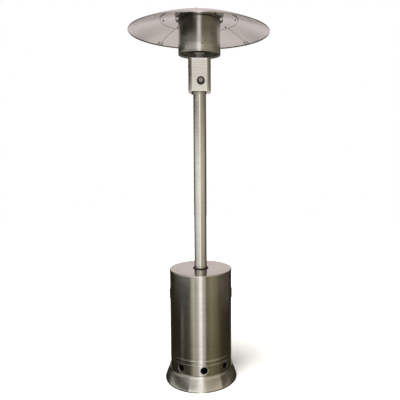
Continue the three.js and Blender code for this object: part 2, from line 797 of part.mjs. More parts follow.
function makeDrum() {
  const hole = disc(peepHoleRadius, -neckRadius, neckRadius, tiny);
  const peepHole = facingOut(hole, peepHoleTurn, emitterRadius, emitterBottom + peepHoleRise);
  const drum = ring(drumInner, emitterRadius, emitterBottom, drumTop);
  addPart(head, "emitter_drum", cut(drum, peepHole), "stainless");

  const sheet = coverSheet;
  const collar = drumInner - contactGap;
  const plateBottom = exhaustRingZ - sheet;
  const topRing = turned([
    at(exhaustRingHole, exhaustRingZ),
    at(exhaustRingHole, plateBottom),
    at(collar - sheet, plateBottom),
    at(collar - sheet, plateBottom - exhaustRingLip),
    at(collar, plateBottom - exhaustRingLip),
    at(collar, plateBottom),
    at(exhaustRingRadius - sheet, plateBottom),
    at(exhaustRingRadius - sheet, plateBottom - exhaustRingLip),
    at(exhaustRingRadius, plateBottom - exhaustRingLip),
    at(exhaustRingRadius, exhaustRingZ),
  ]);
  addPart(head, "exhaust_ring", cut(topRing, ...studHoles()), "stainless");
}

// One of the lines that run from the valve, behind the neck, up to the pilot flame beside the burner.
function lineAlong(x, topZ) {
  const startY = valveBack + 2 * contactGap;
  const bendZ = burnerFloorZ + burnerRise / 2;
  const point = (y, z) => new THREE.Vector3(x, y, z);
  const path = new THREE.CatmullRomCurve3([
    point(startY, knobHeight),
    point(startY + lineBend, knobHeight),
    point(lineSetback, knobHeight + 2.5 * lineBend),
    point(lineSetback, knobHeight + 5 * lineBend),
    point(lineSetback, boxTop),
    point(lineSetback, burnerFloorZ),
    point(lineSetback + lineBend / 2, bendZ - lineBend / 2),
    point((lineSetback + lineReach) / 2, bendZ),
    point(lineReach - lineBend / 2, bendZ + lineBend / 2),
    point(lineReach, bendZ + 2 * lineBend),
    point(lineReach, topZ),
  ]);
  const section = new THREE.Shape().absarc(0, 0, lineRadius, 0, 2 * Math.PI);
  return new THREE.ExtrudeGeometry(section, { steps: 15, curveSegments: 4, extrudePath: path });
}

// The pilot's hooded jet, the flame sensor and the spark electrode stand in a row beside the burner.
function makePilot() {
  const lineTop = burnerFloorZ + burnerRise + burnerDepth - lineBend;
  const start = lineTop - pilotOverlap;
  const hood = rod(pilotRadius, lineTop - pilotOverlap / 2, lineTop + pilotHood - pilotOverlap / 2,
    -lineSpacing, lineReach);
  const tip = rod(sensorRadius, start, start + sensorLength, 0, lineReach);
  const insulatorTop = start + insulatorLength;
  const insulator = rod(pilotRadius, start, insulatorTop, lineSpacing, lineReach);
  const spark = rod(sparkRadius, insulatorTop - pilotRadius, insulatorTop + sparkLength, lineSpacing,
    lineReach);
  addPart(head, "pilot_tube", join(lineAlong(-lineSpacing, lineTop), hood), "aluminium");
  addPart(head, "thermocouple", join(lineAlong(0, lineTop), tip), "copper");
  addPart(head, "ignition_electrode", join(lineAlong(lineSpacing, lineTop), insulator, spark), "ceramic");

  const { width, depth, height, side, drop } = tiltSwitch;
  const tiltY = boxDepth / 2 - boxInset - depth / 2;
  addPart(head, "tilt_switch", block(width, depth, height, side, tiltY, boxTop - drop), "blackPlastic");
}

// ---- Reflector ----
// Places spread evenly round the post, the first at a given turn.
function spread(count, circle, firstTurn) {
  const places = [];
  for (let index = 0; index < count; index += 1) {
    places.push(around(circle, firstTurn + (index * 360) / count, 0));
  }
  return places;
}

const studPlaces = () => spread(studCount, studCircle, studTurn);
const screwPlaces = () => spread(reflectorScrewCount, reflectorScrewCircle, reflectorTurn);

function headHoles(places, shank) {
  const radius = shank + boltClearance;
  return places.map((place) => rod(radius, emitterBottom, 2 * reflectorRim, place.x, place.y));
}

const studHoles = () => headHoles(studPlaces(), studRadius);
const screwHoles = () => headHoles(screwPlaces(), screwRadius);

function steps(from, to, count) {
  return Array.from({ length: count + 1 }, (_, index) => from + ((to - from) * index) / count);
}

// The dome's curve at the given radii. The disc and the panels share the radii where they overlap, so
// that their flat facets lie parallel there.
function domeLine(radii, lift) {
  return radii.map((radius) => at(radius, domeUnderside(radius) + lift));
}

function makeReflector() {
  const discRadii = [...steps(0, panelInnerRadius, 3), centreDiscRadius];
  const under = domeLine(discRadii, -contactGap - reflectorSheet);
  const over = domeLine(discRadii, -contactGap).reverse();
  const centre = cut(turned([...under, ...over]), ...screwHoles(), ...studHoles());
  addPart(head, "reflector_centre", centre, "aluminium");

  const hemTop = reflectorRim + reflectorHem;
  const rim = reflectorRadius;
  const hemInner = rim - 2 * hemRadius;
  const panelUnder = domeLine([panelInnerRadius, ...steps(centreDiscRadius, hemInner, 4)], 0);
  const panelOver = domeLine([panelInnerRadius, ...steps(centreDiscRadius, rim - reflectorSheet, 4)],
    reflectorSheet).reverse();
  const dish = turned([
    ...panelUnder,
    at(hemInner, reflectorRim + 2 * hemRadius),
    at(rim - 1.5 * hemRadius, reflectorRim),
    at(rim - hemRadius / 2, reflectorRim),
    at(rim, reflectorRim + hemRadius),
    at(rim, hemTop),
    ...panelOver,
  ]);
  const reach = rim + panelSeam;
  const near = (panelSeam + reach) / 2;
  const middle = reflectorRim + reflectorRise / 2;
  for (let index = 0; index < panelCount; index += 1) {
    const turn = reflectorTurn + ((index + 0.5) * 360) / panelCount;
    const quarter = block(reach, reach, 4 * reflectorRise, near, near, middle);
    const panel = cut(common(dish, quarter.rotateZ(radians(turn - 90))), ...screwHoles());
    addPart(head, `reflector_panel_${index + 1}`, panel, "aluminium");
  }
}

function makeReflectorScrews() {
  const discUnder = domeUnderside(reflectorScrewCircle + screwHeadRadius) - reflectorSheet - contactGap;
  const under = discUnder - facetAllowance - contactGap;
  const above = domeUnderside(reflectorScrewCircle) + reflectorSheet + 2 * screwHeadHeight;
  screwPlaces().forEach((place, index) => {
    const screw = turned([
      at(0, under - screwHeadHeight),
      at(screwHeadRadius - screwHeadHeight, under - screwHeadHeight),
      at(screwHeadRadius, under),
      at(screwRadius, under),
      at(screwRadius, above),
      at(0, above),
    ], tiny);
    addPart(head, `reflector_screw_${index + 1}`, screw, "galvanised").position.copy(place);
  });
}

// A wing nut: a tapered hub with two rounded ears.
function wingNut(seat) {
  const bore = studRadius + boltClearance;
  const hubTop = 0.6 * wingHeight;
  const hub = turned([
    at(bore, seat),
    at(2 * bore, seat),
    at(1.6 * bore, seat + hubTop),
    at(bore, seat + hubTop),
  ], tiny);
  const inner = 1.3 * bore;
  const ear = new THREE.Shape();
  ear.moveTo(inner, wingThickness / 2);
  ear.lineTo(0.8 * wingSpan, wingHeight / 3);
  ear.lineTo(wingSpan, 0.8 * wingHeight);
  ear.lineTo(0.85 * wingSpan, wingHeight);
  ear.lineTo(inner, hubTop);
  ear.closePath();
  const blade = prism(ear, -wingThickness / 2, wingThickness / 2).rotateX(Math.PI / 2);
  blade.translate(0, 0, seat);
  return join(hub, blade, blade.clone().rotateZ(Math.PI));
}

// The studs are riveted into the exhaust ring. A shoulder holds the reflector off the ring, and a wing nut
// clamps it.
function makeStuds() {
  const tilt = domeUnderside(studCircle - wingSpan / 2) - domeUnderside(studCircle + studShoulder);
  const discUnder = domeUnderside(studCircle + studShoulder) - reflectorSheet - contactGap;
  const shoulderTop = discUnder - facetAllowance - contactGap;
  const nutSeat = domeUnderside(studCircle + studShoulder) + tilt + contactGap;
  const tip = domeUnderside(studCircle) + studLength;
  const rivetTop = exhaustRingZ - coverSheet - contactGap;
  studPlaces().forEach((place, index) => {
    const stud = turned([
      at(0, rivetTop - studHead),
      at(studShoulder, rivetTop - studHead),
      at(studShoulder, rivetTop),
      at(studRadius, rivetTop),
      at(studRadius, exhaustRingZ + contactGap),
      at(studShoulder, exhaustRingZ + contactGap),
      at(studShoulder, shoulderTop),
      at(studRadius, shoulderTop),
      at(studRadius, tip),
      at(0, tip),
    ], tiny);
    addPart(head, `reflector_stud_${index + 1}`, stud, "galvanised").position.copy(place);
    addPart(head, `wing_nut_${index + 1}`, wingNut(nutSeat), "galvanised").position.copy(place);
  });
}

makeBase();
makeLegs();
makePost();
makeHousing();
makeHandles();
makeBox();
makeBoxFloorAndRoof();
makeValve();
makeKnob();
makeVenturi();
makeBurner();
makeDrum();
makePilot();
makeReflector();
makeReflectorScrews();
makeStuds();

export default heater;
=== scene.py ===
# %% [markdown]
# # An outdoor gas heater in brushed steel
# The heater is made almost wholly of bent and turned sheet metal: a flared base ring, a round housing over
# the gas bottle, a tube for a post, a small control box, a drum with the burner in it, and a wide shallow
# dome that sends the heat back down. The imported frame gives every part's place and size. This script makes
# the fine surfaces that the eye sees, and each of them rides on the same moving body as the part it stands
# for, so the housing still slides up the post and the knob still turns.

# %% Load the frame
import json
import math

import bmesh
import bpy
import numpy as np
from mathutils import Matrix, Vector


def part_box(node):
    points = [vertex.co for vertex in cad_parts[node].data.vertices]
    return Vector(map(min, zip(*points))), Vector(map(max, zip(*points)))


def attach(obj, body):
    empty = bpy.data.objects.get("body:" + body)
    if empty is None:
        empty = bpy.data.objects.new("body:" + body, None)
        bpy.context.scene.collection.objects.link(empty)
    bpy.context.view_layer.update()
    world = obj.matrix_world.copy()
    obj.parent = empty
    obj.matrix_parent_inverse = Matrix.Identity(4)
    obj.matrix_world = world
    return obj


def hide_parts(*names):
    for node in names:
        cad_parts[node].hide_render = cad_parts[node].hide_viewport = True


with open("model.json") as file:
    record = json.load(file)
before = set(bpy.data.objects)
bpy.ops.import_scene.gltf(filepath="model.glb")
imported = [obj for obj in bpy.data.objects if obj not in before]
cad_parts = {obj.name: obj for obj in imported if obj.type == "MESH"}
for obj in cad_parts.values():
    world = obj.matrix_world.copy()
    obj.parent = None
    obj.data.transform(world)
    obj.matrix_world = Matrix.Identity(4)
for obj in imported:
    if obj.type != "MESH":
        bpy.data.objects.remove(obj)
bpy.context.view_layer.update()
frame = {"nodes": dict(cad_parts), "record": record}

# %% [markdown]
# ## Camera
# The camera stands in front of the knob with its lens at chest height, turned a little to one side and
# tipped down. A small sideways shift of the lens then moves the heater across the frame.

# %% Camera
MM = 0.001
CAMERA_BACK = 2.659
CAMERA_HEIGHT = 1.400
CAMERA_TURN = 3.16
CAMERA_TIP = 6.25
CAMERA_LENS = 39.78
CAMERA_SHIFT = -0.0614
SENSOR_WIDTH = 36.0


def make_camera():
    """A camera that looks along +Y, turned right and then tipped down by the two named angles."""
    turn, tip = math.radians(CAMERA_TURN), math.radians(CAMERA_TIP)
    ahead = Vector((math.sin(turn) * math.cos(tip), math.cos(turn) * math.cos(tip), -math.sin(tip)))
    right = Vector((math.cos(turn), -math.sin(turn), 0))
    data = bpy.data.cameras.new("camera")
    data.lens, data.sensor_width, data.shift_x = CAMERA_LENS, SENSOR_WIDTH, CAMERA_SHIFT
    camera = bpy.data.objects.new("camera", data)
    bpy.context.scene.collection.objects.link(camera)
    camera.matrix_world = Matrix((right, right.cross(ahead), -ahead)).transposed().to_4x4()
    camera.location = (0, -CAMERA_BACK, CAMERA_HEIGHT)
    bpy.context.scene.camera = camera
    return camera


camera = make_camera()
print("camera at", [round(x, 3) for x in camera.location])

# %% [markdown]
# ## Colour and node helpers
# A colour is written as its hex value and turned to linear light by one function. Every material and the
# world are small graphs of nodes. One function adds a node, sets its options and fills its inputs: a plain
# value is set on the socket, and another node's output is linked to it.

# %% Colour and node helpers
def linear(hex_colour):
    """sRGB hex to linear light: each channel over 255, then ((c + 0.055) / 1.055) to the power 2.4."""
    channels = np.array([int(hex_colour[i:i + 2], 16) for i in (1, 3, 5)]) / 255
    return tuple(np.where(channels <= 0.04045, channels / 12.92, ((channels + 0.055) / 1.055) ** 2.4)) + (1,)


def add_node(tree, kind, inputs=None, **settings):
    node = tree.nodes.new(kind)
    for name, value in settings.items():
        setattr(node, name, value)
    for name, value in (inputs or {}).items():
        if isinstance(value, bpy.types.NodeSocket):
            tree.links.new(value, node.inputs[name])
        else:
            node.inputs[name].default_value = value
    return node


def set_stops(ramp, stops):
    """Fills a colour ramp from (position, hex colour) pairs."""
    while len(ramp.elements) < len(stops):
        ramp.elements.new(0.5)
    for element, (position, colour) in zip(ramp.elements, sorted(stops)):
        element.position, element.color = position, linear(colour)


# %% [markdown]
# ## The studio
# Polished metal shows the room and little else, so the room is laid out as a product studio is: dark cloth
# at both sides, which draws the dark edges of every round part, tall soft strips in front for the
# highlights, and a pale backdrop behind, which the top of the housing and the underside of the dome pick up.
# It is seven rings of colours round the heater, from the floor to high on the walls, blended by height. The
# camera itself looks at plain white.

# %% Studio walls
def backed(middle, side, stops):
    """The stops of one ring, between the sides and the middle of the pale backdrop behind the heater."""
    return [(-180, middle), (-166, side), *stops, (166, side), (180, middle)]


FLOOR_WALL = [
    (-180, "#c2bbb8"), (-152, "#bdb6b3"), (-138, "#4a463f"), (-100, "#2a2620"), (-40, "#2c2822"),
    (-16, "#4f4b44"), (-6, "#fffdff"), (5, "#fffdff"), (11, "#6a655a"), (60, "#756f62"), (110, "#6b665c"),
    (152, "#bdb6b3"), (180, "#c2bbb8"),
]
DEEP_WALL = backed("#bdb5b3", "#aaa3a0", [
    (-158, "#231f18"), (-60, "#1f1b15"), (-40, "#2b271e"), (-32, "#625d4f"), (-26, "#a19c8b"),
    (-20, "#8f8a78"), (-10, "#a39e96"), (-3, "#e9e4e4"), (3, "#f3f0f1"), (7, "#989289"), (13, "#b3ada2"),
    (20, "#4b4632"), (36, "#5f5a42"), (60, "#4f4a33"), (84, "#2f2a1b"), (158, "#2a261d"),
])
LOW_WALL = backed("#c4bcbb", "#b4adab", [
    (-158, "#25211b"), (-82, "#27231c"), (-76, "#75726a"), (-70, "#66635a"), (-62, "#443f31"),
    (-42, "#5a5546"), (-28, "#b4b0a2"), (-20, "#8b8675"), (-10, "#a5a09a"), (-3, "#fffdff"),
    (2, "#fffdff"), (7, "#8f8a82"), (13, "#b4aea5"), (20, "#3d3827"), (36, "#736d57"), (60, "#58533d"),
    (84, "#332d1f"), (110, "#29241d"), (158, "#29241d"),
])
LEVEL_WALL = backed("#bfb6b5", "#aca3a1", [
    (-158, "#3c3934"), (-118, "#4a4740"), (-102, "#a9a7a0"), (-50, "#dededa"), (-14, "#e2e1db"),
    (-6, "#fffef8"), (4, "#fffcf2"), (10, "#aaa393"), (60, "#ada494"), (90, "#8c8375"), (106, "#4c473d"),
    (158, "#3c3934"),
])
BRIM_WALL = backed("#bfb6b5", "#aca3a1", [
    (-158, "#3c3934"), (-118, "#4a4740"), (-102, "#d6d4cd"), (-50, "#fffffb"), (-14, "#fffffa"),
    (-6, "#fffef8"), (4, "#fffcf2"), (10, "#d8d0c0"), (60, "#d5ccbb"), (90, "#b3a998"), (106, "#4c473d"),
    (158, "#3c3934"),
])
UPPER_WALL = backed("#bfb5b3", "#aca3a0", [
    (-158, "#3a352e"), (-24, "#3f392f"), (-12, "#c4bfb8"), (-6, "#ccc7c0"), (10, "#cac5be"),
    (17, "#938d7c"), (40, "#6f6a58"), (90, "#5c5746"), (110, "#7c7767"), (158, "#3a352e"),
])
HIGH_WALL = backed("#bfb4b1", "#aca29e", [
    (-158, "#29241e"), (-92, "#2e2923"), (-76, "#a9a39c"), (-40, "#b5afa8"), (-14, "#c0bab6"),
    (-4, "#fffdff"), (4, "#fffdff"), (9, "#a09a90"), (30, "#8f8879"), (60, "#877f6d"), (84, "#5a5345"),
    (110, "#2e2923"), (158, "#29241e"),
])
WALLS = [
    (FLOOR_WALL, None),
    (DEEP_WALL, (-0.68, -0.56)),
    (LOW_WALL, (-0.46, -0.34)),
    (LEVEL_WALL, (-0.24, -0.13)),
    (BRIM_WALL, (0.04, 0.06)),
    (UPPER_WALL, (0.115, 0.135)),
    (HIGH_WALL, (0.205, 0.225)),
]
ROOM_STRENGTH = 1.45


def make_world():
    """Azimuth is the arc tangent of x over -y, spread over a ramp's 0 to 1; the height z blends one ring of
    colours into the next between its two limits."""
    world = bpy.data.worlds.new("studio")
    world.use_nodes = True
    tree = world.node_tree
    tree.nodes.clear()
    place = add_node(tree, "ShaderNodeTexCoord")
    axes = add_node(tree, "ShaderNodeSeparateXYZ", {0: place.outputs["Generated"]})
    back = add_node(tree, "ShaderNodeMath", {0: axes.outputs["Y"], 1: -1.0}, operation="MULTIPLY")
    turn = add_node(tree, "ShaderNodeMath", {0: axes.outputs["X"], 1: back.outputs[0]}, operation="ARCTAN2")
    share = add_node(tree, "ShaderNodeMapRange", {
        "Value": turn.outputs[0], "From Min": -math.pi, "From Max": math.pi})
    colour = None
    for wall, limits in WALLS:
        ramp = add_node(tree, "ShaderNodeValToRGB", {"Fac": share.outputs[0]})
        set_stops(ramp.color_ramp, [(around / 360 + 0.5, tone) for around, tone in wall])
        if limits is None:
            colour = ramp.outputs["Color"]
            continue
        height = add_node(tree, "ShaderNodeMapRange", {
            "Value": axes.outputs["Z"], "From Min": limits[0], "From Max": limits[1]},
            interpolation_type="SMOOTHSTEP")
        mix = add_node(tree, "ShaderNodeMix", {
            "Factor": height.outputs[0], 6: colour, 7: ramp.outputs["Color"]}, data_type="RGBA")
        colour = mix.outputs[2]
    room = add_node(tree, "ShaderNodeBackground", {"Color": colour, "Strength": ROOM_STRENGTH})
    plain = add_node(tree, "ShaderNodeBackground", {"Color": (1, 1, 1, 1), "Strength": 1.0})
    path = add_node(tree, "ShaderNodeLightPath")
    both = add_node(tree, "ShaderNodeMixShader", {
        0: path.outputs["Is Camera Ray"], 1: room.outputs[0], 2: plain.outputs[0]})
    add_node(tree, "ShaderNodeOutputWorld", {"Surface": both.outputs[0]})
    bpy.context.scene.world = world


make_world()
bpy.context.scene.view_settings.view_transform = "Standard"
print("studio walls have", sum(len(wall) for wall, _ in WALLS), "colours")

# %% [markdown]
# ## Floor and key light
# The floor is plain, pale and wide. One large soft light from the upper left of the camera throws the faint
# shadow to the right of the base and behind it. Neither light nor floor shows in the metal, which mirrors
# the walls above and two low dark boards that nothing else sees.

# %% Floor and key light
FLOOR_RADIUS, FLOOR_SIDES = 7.0, 96
KEY_TURN, KEY_HEIGHT, KEY_WIDTH = -38.0, 54.0, 60.0
KEY_POWER = 5.6
BOARD_DISTANCE, BOARD_HEIGHT, BOARD_STEPS = 1.5, 0.33, 24


def make_set_piece(name, points, faces, finish, colour, roughness):
    """A plain matt thing of the studio, which is no part of the heater."""
    mesh = bpy.data.meshes.new(name)
    mesh.from_pydata(points.tolist(), [], faces)
    thing = bpy.data.objects.new(name, mesh)
    bpy.context.scene.collection.objects.link(thing)
    material = bpy.data.materials.new(finish)
    material.use_nodes = True
    shader = material.node_tree.nodes["Principled BSDF"]
    shader.inputs["Base Color"].default_value = linear(colour)
    shader.inputs["Roughness"].default_value = roughness
    mesh.materials.append(material)
    return thing


def make_floor():
    """A flat disc with its middle under the heater: x = R cos t, y = R sin t."""
    turns = np.linspace(0, 2 * np.pi, FLOOR_SIDES + 1)[:-1]
    rim = np.stack([FLOOR_RADIUS * np.cos(turns), FLOOR_RADIUS * np.sin(turns), 0 * turns], -1)
    floor = make_set_piece("floor", rim, [tuple(range(FLOOR_SIDES))], "white_paper", "#fbfbfa", 0.9)
    floor.visible_glossy = False


def make_key_light():
    """A sun whose rays come from the given turn to the left of the front and the given height."""
    turn, height = math.radians(KEY_TURN), math.radians(KEY_HEIGHT)
    toward = Vector((math.sin(turn) * math.cos(height), -math.cos(turn) * math.cos(height), math.sin(height)))
    data = bpy.data.lights.new("key_light", "SUN")
    data.energy, data.angle = KEY_POWER, math.radians(KEY_WIDTH)
    light = bpy.data.objects.new("key_light", data)
    bpy.context.scene.collection.objects.link(light)
    light.rotation_euler = toward.to_track_quat("Z", "Y").to_euler()
    light.visible_glossy = False


def make_board(name, first, last, colour):
    """A low dark board bent round the heater between two turns. It is seen only in the metal, where it
    darkens the base without reaching the post."""
    turns = np.radians(np.linspace(first, last, BOARD_STEPS + 1))
    arc = np.stack([BOARD_DISTANCE * np.sin(turns), -BOARD_DISTANCE * np.cos(turns), 0 * turns], -1)
    points = np.concatenate([arc, arc + [0, 0, BOARD_HEIGHT]])
    row = BOARD_STEPS + 1
    faces = [(a, a + 1, a + row + 1, a + row) for a in range(BOARD_STEPS)]
    board = make_set_piece(name, points, faces, name + "_felt", colour, 1.0)
    board.visible_camera = board.visible_diffuse = board.visible_shadow = False


make_floor()
make_key_light()
make_board("left_board", -122, -36, "#1d1a15")
make_board("right_board", 62, 122, "#3f3b31")
print("floor, key light and two boards are in place")

# %% [markdown]
# ## Surface builders
# Nearly every piece is one of two kinds. A skin is a grid of points whose neighbours are joined by four-
# sided faces: a turned piece is a skin of its outline swung round the axis. A pierced sheet is a grid with
# holes in it, made twice, once for each side of the sheet, with a rim of faces to join the two. In both,
# the texture coordinates are true distances in metres, so the brushing has the same grain on every piece.

# %% Mesh building
WELD_DISTANCE = 1e-6
SHARP_DEGREES = 35
CORNER_SHARE = 0.48  # of a side that one rounded corner may take


def make_object(name, points, faces, face_uvs):
    """A closed smooth mesh from point and face arrays; the doubled points at seams and poles are merged."""
    mesh = bpy.data.meshes.new(name)
    mesh.from_pydata(points.tolist(), [], faces.tolist())
    layer = mesh.uv_layers.new(name="grain")
    layer.data.foreach_set("uv", face_uvs.reshape(-1).astype(np.float32))
    work = bmesh.new()
    work.from_mesh(mesh)
    bmesh.ops.remove_doubles(work, verts=work.verts, dist=WELD_DISTANCE)
    bmesh.ops.recalc_face_normals(work, faces=work.faces)
    open_edges = sum(1 for edge in work.edges if len(edge.link_faces) != 2)
    work.to_mesh(mesh)
    work.free()
    mesh.shade_smooth()
    mesh.set_sharp_from_angle(angle=math.radians(SHARP_DEGREES))
    thing = bpy.data.objects.new(name, mesh)
    bpy.context.scene.collection.objects.link(thing)
    print(f"{name}: {len(mesh.polygons)} faces, {open_edges} open edges")
    return thing


def grid_faces(rows, columns):
    """Corner numbers of every four-sided cell in a grid of points: a, a + 1, a + columns + 1, a + columns."""
    a = (np.arange(rows - 1)[:, None] * columns + np.arange(columns - 1)).reshape(-1)
    return np.stack([a, a + 1, a + columns + 1, a + columns], 1)


def skin(name, points, uvs):
    """One piece from a grid of points (rows, columns, 3) and its texture coordinates (rows, columns, 2)."""
    faces = grid_faces(*points.shape[:2])
    return make_object(name, points.reshape(-1, 3), faces, uvs.reshape(-1, 2)[faces])


def soften(outline, radii, steps=6):
    """Rounds the corners of a closed outline: each becomes (1-t)^2 a + 2t(1-t) b + t^2 c, with a and c one
    radius away from the corner b along its two sides."""
    outline = np.array(outline, float)
    line = []
    for before, corner, after, radius in zip(np.roll(outline, 1, 0), outline, np.roll(outline, -1, 0), radii):
        if radius == 0:
            line.append(corner[None])
            continue
        sides = [before - corner, after - corner]
        reach = [min(radius, CORNER_SHARE * np.linalg.norm(side)) for side in sides]
        a, c = [corner + side / np.linalg.norm(side) * far for side, far in zip(sides, reach)]
        t = np.linspace(0, 1, steps)[:, None]
        line.append((1 - t) ** 2 * a + 2 * t * (1 - t) * corner + t ** 2 * c)
    return np.concatenate(line)


def finely(outline, step):
    """Puts more points along the long sides of an outline, at most one step apart."""
    outline = np.asarray(outline, float)
    pieces = []
    for a, b in zip(outline[:-1], outline[1:]):
        count = max(1, int(np.ceil(np.linalg.norm(b - a) / step)))
        pieces.append(a + (b - a) * (np.arange(count) / count)[:, None])
    return np.concatenate(pieces + [outline[-1:]])


def swing(outline, first=0.0, last=360.0, sides=180):
    """Points of an outline (radius, height) in mm turned about Z: x = r sin a, y = -r cos a, in metres."""
    turns = np.radians(np.linspace(first, last, sides + 1))
    r, z = outline[:, 0, None] * MM, outline[:, 1, None] * MM
    points = np.stack([r * np.sin(turns), -r * np.cos(turns), z + 0 * turns], -1)
    lengths = np.concatenate([[0], np.cumsum(np.linalg.norm(np.diff(outline, axis=0), axis=1))]) * MM
    around = turns * outline[:, 0].max() * MM
    uvs = np.stack([around[None] + 0 * r, lengths[:, None] + 0 * turns], -1)
    return points, uvs


def turned(name, outline, radii=None, sides=180, closed=True):
    """A whole turned piece. A closed outline joins its last point to its first; an open one starts and ends
    on the axis."""
    line = np.array(outline, float) if radii is None else soften(outline, radii)
    if closed:
        line = np.concatenate([line, line[:1]])
    return skin(name, *swing(line, sides=sides))


print("builders: make_object, skin and turned")

# %% Pierced sheets
HOLE_MARGIN = 1.25  # the square block round a hole, over the hole's size
HOLE_RINGS = (0.35, 0.7, 0.9, 1.0)  # the rings of points, from the block's border to the hole's edge


def oval_hole(u, v, wide, tall, power=2.0):
    """A hole centred at (u, v): du = wide |cos t|^(2/power), dv = tall |sin t|^(2/power), with their signs.
    A power of 2 is an ellipse, and a higher one is nearer to a rounded rectangle."""
    def edge(t):
        cos, sin = np.cos(t), np.sin(t)
        du = wide * np.sign(cos) * np.abs(cos) ** (2 / power)
        dv = tall * np.sign(sin) * np.abs(sin) ** (2 / power)
        return np.stack([u + du, v + dv], -1)
    return u, v, wide, tall, edge


def pierced_grid(us, vs, holes):
    """A flat grid of (u, v) points and faces. Round each hole the square cells are left out, and rings of
    cells blend from that block's border to the hole's edge."""
    flat = np.stack(np.meshgrid(us, vs), -1).reshape(-1, 2)
    columns = len(us)
    faces = grid_faces(len(vs), columns)
    row, column = np.divmod(faces[:, 0], columns)
    keep = np.ones(len(faces), bool)
    points, rings = [flat], []
    count = len(flat)
    for u, v, wide, tall, edge in holes:
        i0, i1 = np.searchsorted(us, [u - HOLE_MARGIN * wide, u + HOLE_MARGIN * wide]) - [1, 0]
        j0, j1 = np.searchsorted(vs, [v - HOLE_MARGIN * tall, v + HOLE_MARGIN * tall]) - [1, 0]
        keep &= ~((column >= i0) & (column < i1) & (row >= j0) & (row < j1))
        border = np.concatenate([
            j0 * columns + np.arange(i0, i1), np.arange(j0, j1) * columns + i1,
            j1 * columns + np.arange(i1, i0, -1), np.arange(j1, j0, -1) * columns + i0])
        place = flat[border]
        turn = np.arctan2((place[:, 1] - v) / (vs[j1] - vs[j0]), (place[:, 0] - u) / (us[i1] - us[i0]))
        loops = [border]
        for share in HOLE_RINGS:
            points.append(place + (edge(turn) - place) * share)
            loops.append(np.arange(count, count + len(border)))
            count += len(border)
        for a, b in zip(loops[:-1], loops[1:]):
            rings.append(np.stack([a, np.roll(a, -1), np.roll(b, -1), b], 1))
    return np.concatenate(points), np.concatenate([faces[keep], *rings])


def pierced_sheet(name, us, vs, holes, place, wrap=False):
    """Two layers of a pierced grid, carried into space by place(u, v, side) with side 0 outside and 1 inside,
    and joined at every free edge. With wrap the last column meets the first, so it has no free edge."""
    flat, faces = pierced_grid(us, vs, holes)
    weld = np.arange(len(flat))
    if wrap:
        weld[np.arange(len(vs)) * len(us) + len(us) - 1] = np.arange(len(vs)) * len(us)
    sides = np.stack([faces, np.roll(faces, -1, 1)], -1).reshape(-1, 2)
    welded = np.sort(weld[sides], 1)
    _, first, uses = np.unique(welded, axis=0, return_index=True, return_counts=True)
    free = sides[first[uses == 1]]
    count = len(flat)
    rim = np.concatenate([free, free[:, ::-1] + count], 1)
    every = np.concatenate([faces, faces[:, ::-1] + count, rim])
    points = np.concatenate([place(flat[:, 0], flat[:, 1], side) for side in (0, 1)])
    sheet = make_object(name, points, every, np.concatenate([flat, flat])[every])
    inner = np.zeros(len(sheet.data.polygons), np.int32)
    inner[len(faces):2 * len(faces)] = 1
    sheet["inner_faces"] = inner.tolist()
    return sheet


print("builder: pierced_sheet")

# %% [markdown]
# ## Placing pieces
# A finished piece rides on its body, stands for its plain part of the frame, and names its material slot.

# %% Placing pieces
def place_piece(piece, body, slot, *stands_for):
    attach(piece, body)
    if stands_for:
        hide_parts(*stands_for)
    pieces[slot] = pieces.get(slot, []) + [piece]
    return piece


def millimetres(node):
    """The lowest and highest corner of a part of the frame, in mm."""
    low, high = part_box(node)
    return np.array(low) / MM, np.array(high) / MM


pieces = {}
# the reflector studs take a flat dark olive, which is painted shade and painted dark reflection from the gap
# under the dome, not the steel's own colour
own_finish = {"neck": "mill", "front_cover": "polished", "rear_cover": "polished",
              **{f"reflector_stud_{index}": "painted_shade" for index in (1, 2, 3)}}
dull_inside = ("housing_wall", "drum_wall")
SHEET = 1.2
GAP = 0.3

# %% [markdown]
# ## Base
# The base is a spun ring: a short upright lip at the bottom, a curve that leans in, and a small turned-out
# bead at the top where the housing stands. Its lower edge is folded under.

# %% Base ring
BASE_RADIUS, _, BASE_HEIGHT = millimetres("base_skirt")[1]
shell_low, shell_high = millimetres("housing_shell")
HOUSING_RADIUS = 188.5
SLIDE_GAP = 0.8
SKIRT_TOP = HOUSING_RADIUS + SHEET + SLIDE_GAP
LIP_HEIGHT, LIP_FOLD = 8.0, 22.0
BULGE_OUT, BULGE_UP = 22.0, 35.0
TOP_BEAD = (1.6, 2.2, 1.8, 0.7)


def skirt_curve(offset, count=28):
    """A quadratic curve from the top edge to the lip: (1-t)^2 a + 2t(1-t) b + t^2 c."""
    t = np.linspace(0, 1, count)[:, None]
    a = np.array([SKIRT_TOP + offset, BASE_HEIGHT])
    b = np.array([SKIRT_TOP + offset + BULGE_OUT, BULGE_UP])
    c = np.array([BASE_RADIUS - SHEET + offset, LIP_HEIGHT])
    return (1 - t) ** 2 * a + 2 * t * (1 - t) * b + t ** 2 * c


def make_base():
    outer, inner = skirt_curve(SHEET), skirt_curve(0)[::-1]
    outer[:len(TOP_BEAD), 0] += TOP_BEAD
    fold = BASE_RADIUS - LIP_FOLD
    lip = soften([(BASE_RADIUS, LIP_HEIGHT), (BASE_RADIUS, 0), (fold, 0), (fold, SHEET),
                  (BASE_RADIUS - SHEET, SHEET)], [0, 1.1, 0, 0, 0])
    ring = turned("base_ring", np.concatenate([outer, lip[1:], inner]))
    return place_piece(ring, "stand", "stainless", "base_skirt")


make_base()

# %% [markdown]
# ## Housing
# The housing is a rolled sheet with two pressed beads near the bottom, a row of round air holes below them,
# and a slot at each side for the hand grips. A lid with a rolled edge closes it, and a rubber ring in the
# lid runs on the post.

